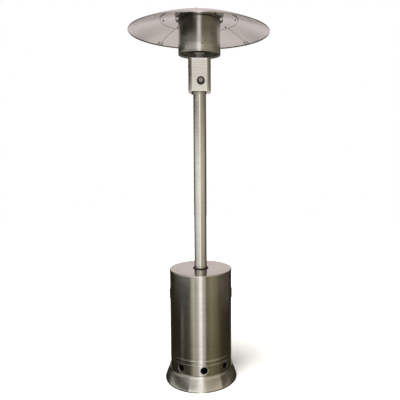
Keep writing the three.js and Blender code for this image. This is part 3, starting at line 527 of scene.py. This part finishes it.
# %% Housing shell
BEAD_HEIGHTS = (149.0, 175.0)
BEAD_PROUD, BEAD_WIDTH = 0.8, 5.0
VENT_RADIUS, VENT_HEIGHT, VENT_TURN, VENT_COUNT = 21.5, 120.0, 5.4, 8
VENT_DISH, VENT_FADE = 1.5, 0.8
HOUSING_SEAM = VENT_TURN - 157.5  # half way between two vents at the back
HANDLE_SLOT, SLOT_POWER = (34.0, 20.0), 5
CAP_EDGE = 5.0
HOUSING_TOP = shell_high[2] + CAP_EDGE + GAP
HANDLE_HEIGHT = HOUSING_TOP - 151.0


def on_housing(u, v, side):
    """u is the distance round the wall in metres from its seam, v the height. Each bead adds
    proud (1 + cos(2 pi d / width)) / 2 at a distance d from its middle, and each vent has a turned-in edge,
    which takes off dish e^(-d / fade) at a distance d from the hole."""
    height = v / MM
    radius = HOUSING_RADIUS - SHEET * side + 0 * height
    for bead in BEAD_HEIGHTS:
        d = np.clip(height - bead, -BEAD_WIDTH / 2, BEAD_WIDTH / 2)
        radius = radius + BEAD_PROUD * (1 + np.cos(2 * np.pi * d / BEAD_WIDTH)) / 2
    a = u / (HOUSING_RADIUS * MM) + np.radians(HOUSING_SEAM)
    for index in range(VENT_COUNT):
        turn = np.radians(VENT_TURN + index * 360 / VENT_COUNT)
        off = (a - turn + np.pi) % (2 * np.pi) - np.pi
        away = np.hypot(off * HOUSING_RADIUS, height - VENT_HEIGHT) - VENT_RADIUS
        radius = radius - VENT_DISH * np.exp(-np.clip(away, 0, None) / VENT_FADE)
    return np.stack([radius * MM * np.sin(a), -radius * MM * np.cos(a), v], -1)


def make_housing_shell():
    around = 2 * np.pi * HOUSING_RADIUS * MM
    us = np.linspace(0, around, 361)
    beads = np.concatenate([bead + np.linspace(-BEAD_WIDTH / 2, BEAD_WIDTH / 2, 9) for bead in BEAD_HEIGHTS])
    low, high = shell_low[2], shell_high[2]
    plain = np.concatenate([np.linspace(low, 140, 37), np.linspace(155, 169, 3), np.linspace(190, 500, 32),
                            np.linspace(506, 574, 20), np.linspace(590, high, 11)])
    vs = np.unique(np.round(np.concatenate([beads, plain]), 3)) * MM
    holes = []
    for index in range(VENT_COUNT):
        turn = (VENT_TURN + index * 360 / VENT_COUNT - HOUSING_SEAM) % 360
        middle = np.radians(turn) * HOUSING_RADIUS * MM
        holes.append(oval_hole(middle, VENT_HEIGHT * MM, VENT_RADIUS * MM, VENT_RADIUS * MM))
    for turn in (-90, 90):
        middle = np.radians((turn - HOUSING_SEAM) % 360) * HOUSING_RADIUS * MM
        wide, tall = HANDLE_SLOT[0] * MM, HANDLE_SLOT[1] * MM
        holes.append(oval_hole(middle, HANDLE_HEIGHT * MM, wide, tall, SLOT_POWER))
    shell = pierced_sheet("housing_wall", us, vs, holes, on_housing, wrap=True)
    return place_piece(shell, "housing", "stainless", "housing_shell")


make_housing_shell()

# %% Housing lid and its rubber ring
POST_RADIUS = 38.0
LID_SEAT = 2.0
cap_low, cap_high = millimetres("housing_cap")
grommet_high = millimetres("post_grommet")[1]


def make_lid():
    """The lid's outline, from the skirt's foot over the rolled edge to the pressed seat, and back inside."""
    rim, top, hole = cap_high[0], cap_high[2], POST_RADIUS + 3.8
    seat, reach = top - LID_SEAT, grommet_high[0] + GAP
    outline = [
        (rim, cap_low[2]), (rim, top), (reach, top), (reach, seat), (hole, seat), (hole, seat - SHEET),
        (reach + SHEET, seat - SHEET), (reach + SHEET, top - SHEET), (rim - SHEET, top - SHEET),
        (rim - SHEET, cap_low[2])]
    lid = turned("housing_lid", outline, [0.4, CAP_EDGE, 0.6, 0.4, 0, 0, 0, 0, 3.6, 0])
    return place_piece(lid, "housing", "stainless", "housing_cap")


def make_rubber_ring():
    """A ring with a groove that grips the edge of the lid's hole."""
    inner, reach, top = POST_RADIUS + SLIDE_GAP, grommet_high[0], grommet_high[2]
    seat = cap_high[2] - LID_SEAT + GAP
    neck, low = POST_RADIUS + 3.5, cap_high[2] - LID_SEAT - SHEET - GAP
    outline = [
        (inner, low - 3), (neck + 3.3, low - 3), (neck + 3.3, low), (neck, low), (neck, seat), (reach, seat),
        (reach, top), (inner, top)]
    ring = turned("rubber_ring", outline, [0.5, 1, 0.3, 0, 0, 0.6, 2.6, 1.0], sides=96)
    return place_piece(ring, "housing", "black_rubber", "post_grommet")


make_lid()
make_rubber_ring()

# %% Hand grips
def rounded_loop(wide, tall, corner, count=20):
    """Points round a rounded rectangle: four corner arcs, joined by the straight sides."""
    turns = np.linspace(0, np.pi / 2, count)
    arcs = []
    for quarter, (x, y) in enumerate([(1, 1), (-1, 1), (-1, -1), (1, -1)]):
        a = turns + quarter * np.pi / 2
        arcs.append(np.stack([x * (wide - corner) + corner * np.cos(a),
                              y * (tall - corner) + corner * np.sin(a)], -1))
    loop = np.concatenate(arcs)
    return np.concatenate([loop, loop[:1]])


def make_grip(side, sign):
    """Loops of a rounded rectangle, each with its inset and its depth from the wall, joined from the middle
    of the cup's back, round the outside, over the rim and down to the middle of the finger hollow."""
    wide, tall, corner = 42.0, 28.0, 14.0
    steps = [
        (27.9, -13), (8.9, -13), (8.3, -12.4), (8.3, -1), (8.3, 0.4), (0.3, 0.4), (0.0, 0.7), (0.0, 1.6),
        (0.5, 2.8), (1.6, 3.7), (3.0, 4.0), (6.0, 4.0), (7.6, 3.6), (8.8, 2.4), (9.6, 0.8), (9.9, -9.4),
        (11.4, -11.2), (27.9, -11.4)]
    rows, lengths = [], []
    for inset, depth in steps:
        loop = rounded_loop(wide - inset, max(tall - inset, 0.1), max(corner - inset, min(2.0, tall - inset)))
        radius = HOUSING_RADIUS + depth
        a = loop[:, 0] / HOUSING_RADIUS + sign * np.pi / 2
        rows.append(np.stack([radius * np.sin(a), -radius * np.cos(a), HANDLE_HEIGHT + loop[:, 1]], -1) * MM)
        around = np.concatenate([[0], np.cumsum(np.linalg.norm(np.diff(loop, axis=0), axis=1))])
        lengths.append(np.stack([around, around * 0 + depth + inset], -1) * MM)
    points, uvs = np.array(rows), np.array(lengths)
    for end in (0, -1):
        points[end] = points[end].mean(0)
    grip = skin("hand_grip_" + side, points, uvs)
    return place_piece(grip, "housing", "black_plastic", "housing_handle_" + side)


make_grip("left", -1)
make_grip("right", 1)

# %% [markdown]
# ## Post
# One welded tube with a round flange at its foot, bolted down on the three legs.

# %% Post
POST_WALL, FLANGE_THICKNESS = 1.5, 4.0
post_low, post_high = millimetres("post")


def make_post():
    """The tube's wall and its flange in one outline, with a small fillet where they meet."""
    inner, flange, bottom, top = POST_RADIUS - POST_WALL, post_high[0], post_low[2], post_high[2]
    ledge = bottom + FLANGE_THICKNESS
    outline = [
        (inner, bottom), (flange, bottom), (flange, ledge), (POST_RADIUS, ledge), (POST_RADIUS, top),
        (inner, top)]
    post = turned("post_tube", outline, [0, 0.6, 0.6, 2.0, 0.3, 0], sides=128)
    return place_piece(post, "stand", "stainless", "post")


make_post()

# %% [markdown]
# ## Control box
# Two bent covers close round the valve and meet at the sides, where a screw on each side holds them. The
# bends have a generous radius, so they show as soft dark and light bands.

# %% Box covers
box_low, box_high = millimetres("box_front_cover")
BOX_HALF = box_high[0]
BOX_CORNER = 23.5
BOX_SCREW_DROP, BOX_SCREW_INSET, BOX_SCREW_HOLE = 39.0, 7.0, 2.8
STEM_HOLE = 5.6
SIDE_GAP = 0.15
knob_low, knob_high = millimetres("control_knob")
KNOB_X = (knob_low[0] + knob_high[0]) / 2
KNOB_Z = (knob_low[2] + knob_high[2]) / 2


def box_path(front):
    """Half of the rounded square in plan: its points, the way out from each, and the distance along it."""
    sign = -1 if front else 1
    c, edge = BOX_CORNER, BOX_HALF
    turns = np.linspace(0, np.pi / 2, 25)
    left = np.stack([-edge + c - c * np.cos(turns), sign * (edge - c + c * np.sin(turns))], -1)
    left_out = np.stack([-np.cos(turns), sign * np.sin(turns)], -1)
    mirror = np.array([-1, 1])
    meet = sign * SIDE_GAP
    points = np.concatenate([[[-edge, meet]], left, left[::-1] * mirror, [[edge, meet]]])
    out = np.concatenate([[[-1, 0]], left_out, left_out[::-1] * mirror, [[1, 0]]])
    length = np.concatenate([[0], np.cumsum(np.linalg.norm(np.diff(points, axis=0), axis=1))])
    return points, out, length


def make_cover(name, front, node):
    points, out, length = box_path(front)
    low, high = box_low[2], box_high[2]

    def on_box(u, v, side):
        """Follows the bent path at a distance u along it; the sheet's edges at top and bottom roll in a
        little, by radius (1 - sqrt(1 - d^2)) with d from 0 to 1 over the last millimetre."""
        at = u / MM
        height = v / MM
        d = np.clip(np.maximum(height - (high - 1), (low + 1) - height), 0, 1)
        inset = SHEET * side + (1 - side) * 0.9 * (1 - np.sqrt(1 - d ** 2 + 1e-9))
        x, y = [np.interp(at, length, points[:, axis]) - inset * np.interp(at, length, out[:, axis])
                for axis in (0, 1)]
        return np.stack([x, y, height], -1) * MM

    arcs = length[1:26], length[26:51]
    us = np.unique(np.round(np.concatenate([
        [0.0], np.linspace(2, arcs[0][0], 14), arcs[0], np.linspace(arcs[0][-1], arcs[1][0], 34), arcs[1],
        np.linspace(arcs[1][-1], length[-1] - 2, 14), length[-1:]]), 4)) * MM
    vs = np.unique(np.round(np.concatenate([
        low + np.array([0, 0.15, 0.35, 0.6, 1]), np.linspace(low + 1, high - 1, 63),
        high - np.array([1, 0.6, 0.35, 0.15, 0])]), 4)) * MM
    screw_z, middle = (high - BOX_SCREW_DROP) * MM, length[-1] / 2
    stem, screw = STEM_HOLE * MM, BOX_SCREW_HOLE * MM
    holes = []
    if front:
        holes = [oval_hole((middle + KNOB_X) * MM, KNOB_Z * MM, stem, stem),
                 oval_hole(BOX_SCREW_INSET * MM, screw_z, screw, screw),
                 oval_hole((length[-1] - BOX_SCREW_INSET) * MM, screw_z, screw, screw)]
    cover = pierced_sheet(name, us, vs, holes, on_box)
    return place_piece(cover, "stand", "stainless", node)


make_cover("front_cover", True, "box_front_cover")
make_cover("rear_cover", False, "box_rear_cover")

# %% [markdown]
# ## Knob
# A moulded knob: a thin round skirt against the box, a grip with shallow finger flutes, and a flat grey cap
# with a raised pointer.

# %% Knob
FLUTES, FLUTE_DEPTH = 14, 0.055
KNOB_BORE, KNOB_SKIRT, KNOB_CAP = 4.4, 4.4, 13.0


def make_knob():
    """The grip's radius is r (1 - depth (1 + cos(flutes a)) / 2) between the skirt and the front edge."""
    back, front = knob_high[1], knob_low[1]
    depth, radius, bore, cap = back - front, (knob_high[0] - knob_low[0]) / 2, KNOB_BORE, KNOB_CAP
    line = soften([
        (0, depth / 2 + 0.4), (bore, depth / 2 + 0.4), (bore, 0), (radius, 0), (radius, 3.6),
        (radius - 2, KNOB_SKIRT), (radius - 3.6, depth - 0.4), (cap + 0.4, depth), (cap, depth - 1.2),
        (0, depth - 1.2)], [0, 0, 0.3, 0.5, 1.2, 0.8, 2.6, 0.5, 0.3, 0])
    line = finely(line, 1.5)
    turns = np.linspace(0, 2 * np.pi, 225)
    r, out = line[:, 0, None], line[:, 1, None]
    grip = np.clip((out - KNOB_SKIRT) / 2, 0, 1) * np.clip((r - cap - 1) / 3, 0, 1)
    r = r * (1 - FLUTE_DEPTH * grip * (1 + np.cos(FLUTES * turns)) / 2)
    x, y, z = KNOB_X + r * np.sin(turns), back - out + 0 * turns, KNOB_Z + r * np.cos(turns)
    points = np.stack([x, y, z], -1) * MM
    uvs = np.stack([turns * radius + 0 * r, out + 0 * turns], -1) * MM
    knob = skin("knob", points, uvs)
    return place_piece(knob, "knob", "black_plastic", "control_knob")


def make_pointer():
    """A grey disc in the knob's face with a raised bar from its middle to its top edge."""
    face = knob_low[1]
    r = np.concatenate([[0.0], np.linspace(1.2, 12.2, 14), [12.6, 12.6, 0.0]])[:, None]
    out = np.concatenate([[0.85], np.full(13, 0.85), [0.8, 0.3, -0.3, -0.3]])[:, None]
    turns = np.linspace(0, 2 * np.pi, 145)
    x, z = r * np.sin(turns), r * np.cos(turns)
    sides = 1 / (1 + np.exp((np.abs(x) - 1.4) * 6))
    bar = sides * np.clip((z + 2) / 1.5, 0, 1) * np.clip((11 - z) / 1.0, 0, 1)
    out = out + 0 * turns - (out > 0.5) * bar * 0.55
    points = np.stack([KNOB_X + x, face + out, KNOB_Z + z], -1) * MM
    uvs = np.stack([turns * 12 + 0 * r, r + 0 * turns], -1) * MM
    cap = skin("knob_cap", points, uvs)
    return place_piece(cap, "knob", "cast_aluminium")


make_knob()
make_pointer()

# %% [markdown]
# ## Neck, burner floor and drum
# A short neck lifts the drum off the box. The drum is one rolled sheet with a groove near its lower edge
# and a small hole to light and watch the pilot flame; a pressed floor with an upright rim sits a little way
# inside.

# %% Neck
NECK_RADIUS = 20.0
neck_low, neck_high = millimetres("head_neck")


def make_neck():
    """A tube with a thin flange at each end, and a fillet at each flange."""
    reach, low, high, tube = neck_high[0], neck_low[2], neck_high[2], NECK_RADIUS
    outline = [
        (tube - SHEET, low), (reach, low), (reach, low + SHEET), (tube, low + SHEET), (tube, high - SHEET),
        (reach, high - SHEET), (reach, high), (tube - SHEET, high)]
    neck = turned("neck", outline, [0, 0.3, 0.3, 1.8, 1.8, 0.3, 0.3, 0], sides=96)
    return place_piece(neck, "stand", "stainless", "head_neck")


make_neck()

# %% Drum
drum_low, drum_high = millimetres("emitter_drum")
DRUM_RADIUS = 123.0
DRUM_BOTTOM, DRUM_TOP = drum_low[2], drum_high[2]
PEEP_TURN, PEEP_RISE, PEEP_RADIUS = 6.9, 42.0, 4.0
GROOVE_RISE, GROOVE_DEPTH, GROOVE_WIDTH = 8.5, 0.9, 1.1
EDGE_ROLL, EDGE_RUN = 0.8, 1.5


def on_drum(u, v, side):
    """Radius R - depth exp(-(d / width)^2) at a height d from the groove; the lower edge is rolled in by
    roll (1 - h / run)^2 at a height h over its last bit."""
    height = v / MM
    groove = GROOVE_DEPTH * np.exp(-((height - DRUM_BOTTOM - GROOVE_RISE) / GROOVE_WIDTH) ** 2)
    edge = EDGE_ROLL * np.clip(1 - (height - DRUM_BOTTOM) / EDGE_RUN, 0, 1) ** 2 * (1 - side)
    radius = DRUM_RADIUS - groove - edge - SHEET * side
    a = u / (DRUM_RADIUS * MM) - np.pi
    return np.stack([radius * MM * np.sin(a), -radius * MM * np.cos(a), v], -1)


def make_drum():
    around = 2 * np.pi * DRUM_RADIUS * MM
    us = np.linspace(0, around, 289)
    vs = np.unique(np.round(np.concatenate([
        DRUM_BOTTOM + np.array([0, 0.3, 0.7, 1.1, 1.5, 3, 4.5]),
        DRUM_BOTTOM + GROOVE_RISE + np.linspace(-3, 3, 13),
        DRUM_BOTTOM + np.linspace(14, 66, 21), np.linspace(DRUM_BOTTOM + 72, DRUM_TOP, 24)]), 3)) * MM
    middle = around / 2 + np.radians(PEEP_TURN) * DRUM_RADIUS * MM
    hole = oval_hole(middle, (DRUM_BOTTOM + PEEP_RISE) * MM, PEEP_RADIUS * MM, PEEP_RADIUS * MM)
    drum = pierced_sheet("drum_wall", us, vs, [hole], on_drum, wrap=True)
    return place_piece(drum, "stand", "stainless", "emitter_drum")


make_drum()

# %% Burner floor
floor_low, floor_high = millimetres("burner_floor")
PLATE_RADIUS = floor_high[0]
AIR_CIRCLE, AIR_RADIUS, THROAT = 58.0, 5.0, 16.3
BEND = 3.0
BEND_RUN = BEND * np.pi / 2
PER_RADIAN = 0.1


def on_burner_floor(u, v, side):
    """u is the turn in radians times 100 mm, v the distance along the profile: first the radius out to the
    bend, then the height up the rim."""
    a, run = u / PER_RADIAN, v / MM
    bend = PLATE_RADIUS - BEND
    t = np.clip((run - bend) / BEND_RUN, 0, 1) * np.pi / 2
    up = np.clip(run - bend - BEND_RUN, 0, None)
    thick = SHEET * side
    radius = np.where(run < bend, run, bend + (BEND - thick) * np.sin(t))
    height = floor_low[2] + BEND - (BEND - thick) * np.cos(t) + up
    return np.stack([radius * np.sin(a), -radius * np.cos(a), height], -1) * MM


def make_burner_floor():
    us = np.linspace(-np.pi, np.pi, 181) * PER_RADIAN
    bend = PLATE_RADIUS - BEND
    rim_run = bend + BEND_RUN
    vs = np.concatenate([np.linspace(THROAT, bend, 40), np.linspace(bend, rim_run, 8)[1:],
                         rim_run + np.array([3.0, 6.0, 8.8])]) * MM
    stretch = 100 / AIR_CIRCLE
    hole = oval_hole(np.radians(PEEP_TURN) * PER_RADIAN, AIR_CIRCLE * MM, AIR_RADIUS * stretch * MM,
                     AIR_RADIUS * MM)
    floor = pierced_sheet("burner_floor_plate", us, vs, [hole], on_burner_floor, wrap=True)
    place_piece(floor, "stand", "stainless", "burner_floor")
    # the floor plate is painted dark olive: painted shade and painted dark reflection from under the drum, in
    # place of the steel's own bright look
    own_finish[floor.name] = "painted_shade"


make_burner_floor()

# %% Exhaust ring
RING_HOLE = 98.0
ring_low, ring_high = millimetres("exhaust_ring")


def make_exhaust_ring():
    """A flat ring with a collar that fits inside the drum and a rolled skirt outside it."""
    reach, top, low, hole = ring_high[0], ring_high[2], ring_low[2], RING_HOLE
    plate, collar = top - SHEET, DRUM_RADIUS - SHEET - GAP
    outline = [
        (hole, top), (hole, plate), (collar - SHEET, plate), (collar - SHEET, low), (collar, low),
        (collar, plate), (reach - SHEET, plate), (reach - SHEET, low), (reach, low), (reach, top)]
    ring = turned("exhaust_lip", outline, [0.3, 0, 1.0, 0.2, 0.2, 0, 1.0, 0.3, 0.4, 2.0], sides=180)
    return place_piece(ring, "stand", "stainless", "exhaust_ring")


make_exhaust_ring()

# %% [markdown]
# ## Reflector
# The dome is four pressed panels round a centre disc. Its curve is a shallow parabola, height =
# rise (1 - (r / R)^2), and the rim is hemmed: the sheet is folded back under itself, which leaves a rounded
# edge. The panels lap over the disc's edge, with screws on a circle through both, and meet each other at
# thin seams, each with a narrow strip under it and two small bent clips near the rim.

# %% Dome
DOME_RADIUS, DOME_RIM = 407.0, millimetres("reflector_panel_1")[0][2]
DOME_HEM, DOME_RISE = 4.0, 97.0
DISC_RADIUS, PANEL_INNER, PANEL_COUNT = 225.0, 190.0, 4
SEAM_TURN = -5.0
QUARTER = 360 / PANEL_COUNT
HALF_SEAM = np.degrees(0.4 / 300)  # 0.4 mm at a radius of 300 mm


def dome_height(radius):
    return DOME_RIM + DOME_HEM + DOME_RISE * (1 - (radius / DOME_RADIUS) ** 2)


def dome_line(first, last, lift, count):
    radii = np.linspace(first, last, count)
    return np.stack([radii, dome_height(radii) + lift], -1)


def make_centre_disc():
    """Two faces of the same parabola, one sheet thickness apart, with the outer edge turned down a little."""
    under = dome_line(0, DISC_RADIUS - 2.2, -GAP - SHEET, 46)
    over = dome_line(DISC_RADIUS, 0, -GAP, 46)
    edge = DISC_RADIUS + np.array([-1.4, -1.0, -0.2, 0.0])
    lip = np.stack([edge, dome_height(DISC_RADIUS) - GAP - np.array([1.7, 2.4, 2.6, 2.0])], -1)
    under = np.concatenate([under, lip])
    disc = turned("centre_disc", np.concatenate([under, over]), sides=240, closed=False)
    return place_piece(disc, "stand", "reflector_aluminium", "reflector_centre")


def make_panel(index):
    """A quarter turn of two lines, the sheet's upper and lower face, with the seam's gap at both ends. Past
    the rim both lines fold under to make the hem."""
    first = SEAM_TURN + QUARTER / 2 + index * QUARTER + HALF_SEAM
    rim, low = DOME_RADIUS, DOME_RIM
    over = np.concatenate([dome_line(PANEL_INNER, rim - 3, SHEET, 44), soften(
        [(rim - 1.5, dome_height(rim - 1.5) + SHEET), (rim, low + 4), (rim, low), (rim - 3.6, low),
         (rim - 3.6, low + 3)], [0, 1.5, 2.2, 1.6, 0])])
    under = np.concatenate([dome_line(PANEL_INNER, rim - 4.4, 0, 44), soften(
        [(rim - 2.4, dome_height(rim - 2.4)), (rim - 1.2, low + 3), (rim - 1.2, low + 1.2),
         (rim - 2.4, low + 1.2), (rim - 2.4, low + 3)], [0, 0.7, 0.6, 0.6, 0])])
    run = np.concatenate([[0], np.cumsum(np.linalg.norm(np.diff(over, axis=0), axis=1))]) * MM

    def on_dome(u, v, side):
        line = under if side else over
        r, z = np.interp(v, run, line[:, 0]) * MM, np.interp(v, run, line[:, 1]) * MM
        a = u / (rim * MM)
        return np.stack([r * np.sin(a), -r * np.cos(a), z], -1)

    us = np.radians(np.linspace(first, first + QUARTER - 2 * HALF_SEAM, 67)) * rim * MM
    panel = pierced_sheet(f"dome_panel_{index + 1}", us, run, [], on_dome)
    return place_piece(panel, "stand", "reflector_aluminium", f"reflector_panel_{index + 1}")


make_centre_disc()
for index in range(PANEL_COUNT):
    make_panel(index)

# %% Seam strips and clips
CLIP_INNER, CLIP_OUTER, CLIP_WIDTH, CLIP_SPREAD, CLIP_DEPTH = 377.0, 401.0, 7.0, 12.5, 1.6
STRIP_WIDTH, STRIP_OUTER, STRIP_DEPTH = 3.2, 398, 1.4
STRIP_CLEARANCE = 0.25


def make_strip(name, turn, shift, wide, first, last, depth, slot):
    """A small strip bent to lie under the dome, rounded across: its offset below the sheet is
    d = clearance + depth (1 - (2x / wide)^4), and it thins out over the last 2 mm at both ends."""
    def on_dome(u, v, inner):
        x, radius = u / MM, v / MM
        d = (1 - inner) * depth * np.clip(1 - (2 * x / wide) ** 4, 0, 1)
        ends = np.clip(np.minimum(radius - first, last - radius) / 2.0, 0, 1) ** 0.5
        a = np.radians(turn) + (x + shift) / radius
        height = dome_height(radius) - STRIP_CLEARANCE - d * ends
        return np.stack([radius * np.sin(a), -radius * np.cos(a), height], -1) * MM

    us = np.linspace(-wide / 2, wide / 2, 11) * MM
    vs = np.linspace(first, last, max(19, int((last - first) / 4))) * MM
    strip = pierced_sheet(name, us, vs, [], on_dome)
    return place_piece(strip, "stand", slot)


for seam in range(PANEL_COUNT):
    turn = SEAM_TURN + QUARTER / 2 + seam * QUARTER
    make_strip(f"seam_strip_{seam + 1}", turn, 0, STRIP_WIDTH, DISC_RADIUS + 1, STRIP_OUTER, STRIP_DEPTH,
               "reflector_aluminium")
    for side, label in ((-1, "left"), (1, "right")):
        make_strip(f"seam_clip_{seam + 1}_{label}", turn, side * CLIP_SPREAD, CLIP_WIDTH, CLIP_INNER,
                   CLIP_OUTER, CLIP_DEPTH, "galvanised")

# %% [markdown]
# ## Finishes
# Brushed steel is a metal whose fine scratches all run one way, so its reflections are drawn out across
# them. The scratches are noise stretched along the texture's first axis: a slow one for the uneven polish
# and a fine one for the scratches themselves. The other finishes are built in the same way from noise of a
# real size.

# %% Metal helpers
SCRATCH_CELLS, BAND_CELLS, CLOUD_CELLS = (12, 1800, 1), (3, 160, 1), (7, 9, 1)
SCRATCH_DEPTH = 0.00002
QUARTER_TURN = 0.25  # so that the streaks run across the scratches
FINER = 12


def new_material(name):
    material = bpy.data.materials.new(name)
    material.use_nodes = True
    tree = material.node_tree
    return material, tree, tree.nodes["Principled BSDF"]


def noise(tree, vector, per_metre, detail=3.0, roughness=0.55):
    """Noise with that many cells per metre along each axis."""
    stretch = add_node(tree, "ShaderNodeMapping", {"Vector": vector, "Scale": per_metre})
    return add_node(tree, "ShaderNodeTexNoise", {"Vector": stretch.outputs[0], "Scale": 1.0, "Detail": detail,
                                                 "Roughness": roughness}).outputs["Fac"]


def spread(tree, value, low, high, start=0.3, end=0.7):
    return add_node(tree, "ShaderNodeMapRange", {"Value": value, "From Min": start, "From Max": end,
                                                 "To Min": low, "To Max": high}).outputs[0]


def tint(tree, factor, first, second):
    return add_node(tree, "ShaderNodeMix", {"Factor": factor, 6: linear(first), 7: linear(second)},
                    data_type="RGBA").outputs[2]


def bump(tree, height, depth):
    return add_node(tree, "ShaderNodeBump", {"Height": height, "Distance": depth, "Strength": 1.0}).outputs[0]


def link(tree, output, shader, name):
    tree.links.new(output, shader.inputs[name])


def brushed(name, light, dark, low_rough, high_rough, stretch, metallic=1.0):
    """Scratches along the piece's own grain: 12 per metre along it and 1800 per metre across it."""
    material, tree, shader = new_material(name)
    grain = add_node(tree, "ShaderNodeUVMap", uv_map="grain").outputs[0]
    scratches = noise(tree, grain, SCRATCH_CELLS)
    bands = noise(tree, grain, BAND_CELLS)
    cloud = noise(tree, grain, CLOUD_CELLS)
    link(tree, tint(tree, spread(tree, bands, 0, 1), dark, light), shader, "Base Color")
    worn = add_node(tree, "ShaderNodeMath", {0: scratches, 1: cloud}, operation="ADD")
    link(tree, spread(tree, worn.outputs[0], low_rough, high_rough, 0.7, 1.3), shader, "Roughness")
    link(tree, bump(tree, scratches, SCRATCH_DEPTH), shader, "Normal")
    tangent = add_node(tree, "ShaderNodeTangent", direction_type="UV_MAP", uv_map="grain")
    link(tree, tangent.outputs[0], shader, "Tangent")
    shader.inputs["Metallic"].default_value = metallic
    shader.inputs["Anisotropic"].default_value = stretch
    shader.inputs["Anisotropic Rotation"].default_value = QUARTER_TURN
    return material


def cloudy(name, light, dark, roughness, metallic, cells, depth, ior=1.5):
    """A cast, moulded or dipped surface: even colour with noise of the given number of cells per metre."""
    material, tree, shader = new_material(name)
    place = add_node(tree, "ShaderNodeTexCoord").outputs["Object"]
    patches = noise(tree, place, (cells, cells, cells))
    fine = noise(tree, place, (FINER * cells, FINER * cells, FINER * cells))
    link(tree, tint(tree, spread(tree, patches, 0, 1), dark, light), shader, "Base Color")
    link(tree, spread(tree, patches, roughness - 0.06, roughness + 0.06), shader, "Roughness")
    link(tree, bump(tree, fine, depth), shader, "Normal")
    shader.inputs["Metallic"].default_value = metallic
    if not metallic:
        shader.inputs["IOR"].default_value = ior
    return material


# %% Finishes
finishes = {
    "stainless": brushed("brushed_stainless_steel", "#dcdad6", "#cfccc6", 0.16, 0.24, 0.55),
    "reflector_aluminium": brushed("satin_aluminium_sheet", "#e3e0de", "#d8d5d3", 0.17, 0.25, 0.3),
    "galvanised": cloudy("zinc_plated_steel", "#7d7e7c", "#646664", 0.42, 1, 90, 0.00002),
    "cast_aluminium": cloudy("die_cast_aluminium", "#9a9894", "#8b8985", 0.42, 1, 240, 0.00003),
    "cast_iron": cloudy("scaled_cast_iron", "#4a443e", "#2d2a27", 0.72, 1, 120, 0.0002),
    "brass": cloudy("turned_brass", "#b9964f", "#a58444", 0.34, 1, 150, 0.00001),
    "copper": cloudy("copper_tube", "#b87650", "#9a5f3f", 0.36, 1, 150, 0.00001),
    "ceramic": cloudy("glazed_ceramic", "#eae6dc", "#e0dbcf", 0.3, 0, 60, 0.00001, 1.6),
    "black_plastic": cloudy("moulded_black_plastic", "#1d1c1b", "#161514", 0.42, 0, 300, 0.00002, 1.49),
    "black_rubber": cloudy("black_rubber", "#191817", "#121110", 0.78, 0, 300, 0.00003, 1.52),
}
# A flat dark olive, matt and not metal, is painted shade and painted dark reflection for the burner floor
# under the drum and for the reflector studs.
finishes["painted_shade"] = cloudy("dark_olive_painted_shade", "#3b3628", "#2a261b", 0.8, 0, 60, 0.00005, 1.3)
finishes["polished"] = brushed("polished_stainless_steel", "#d6d3cf", "#c9c6c0", 0.09, 0.13, 0.4)
finishes["mill"] = brushed("mill_finish_steel", "#c6c2c0", "#b1adab", 0.5, 0.62, 0.1, 0.5)
plain_steel = cloudy("pressed_stainless_steel", "#c9c6c0", "#bcb9b2", 0.32, 1, 120, 0.00001)


def cover_all():
    """New pieces take their own finish or their slot's, and two are dull inside. The frame's own parts have
    no grain coordinates, so their sheet takes the pressed steel."""
    for slot, own in pieces.items():
        for piece in own:
            piece.data.materials.clear()
            piece.data.materials.append(finishes[own_finish.get(piece.name, slot)])
            if piece.name in dull_inside:
                piece.data.materials.append(finishes["mill"])
                piece.data.polygons.foreach_set("material_index", piece["inner_faces"])
            if "inner_faces" in piece:
                del piece["inner_faces"]
    slots = {row["node"]: row["material_slot"] for row in frame["record"]["subparts"]}
    for node, thing in frame["nodes"].items():
        slot = slots[node]
        finish = finishes[own_finish.get(node, slot)]
        if slot in ("stainless", "reflector_aluminium"):
            finish = plain_steel
        thing.data.materials.clear()
        thing.data.materials.append(finish)


cover_all()
print("finishes:", len(finishes) + 1)
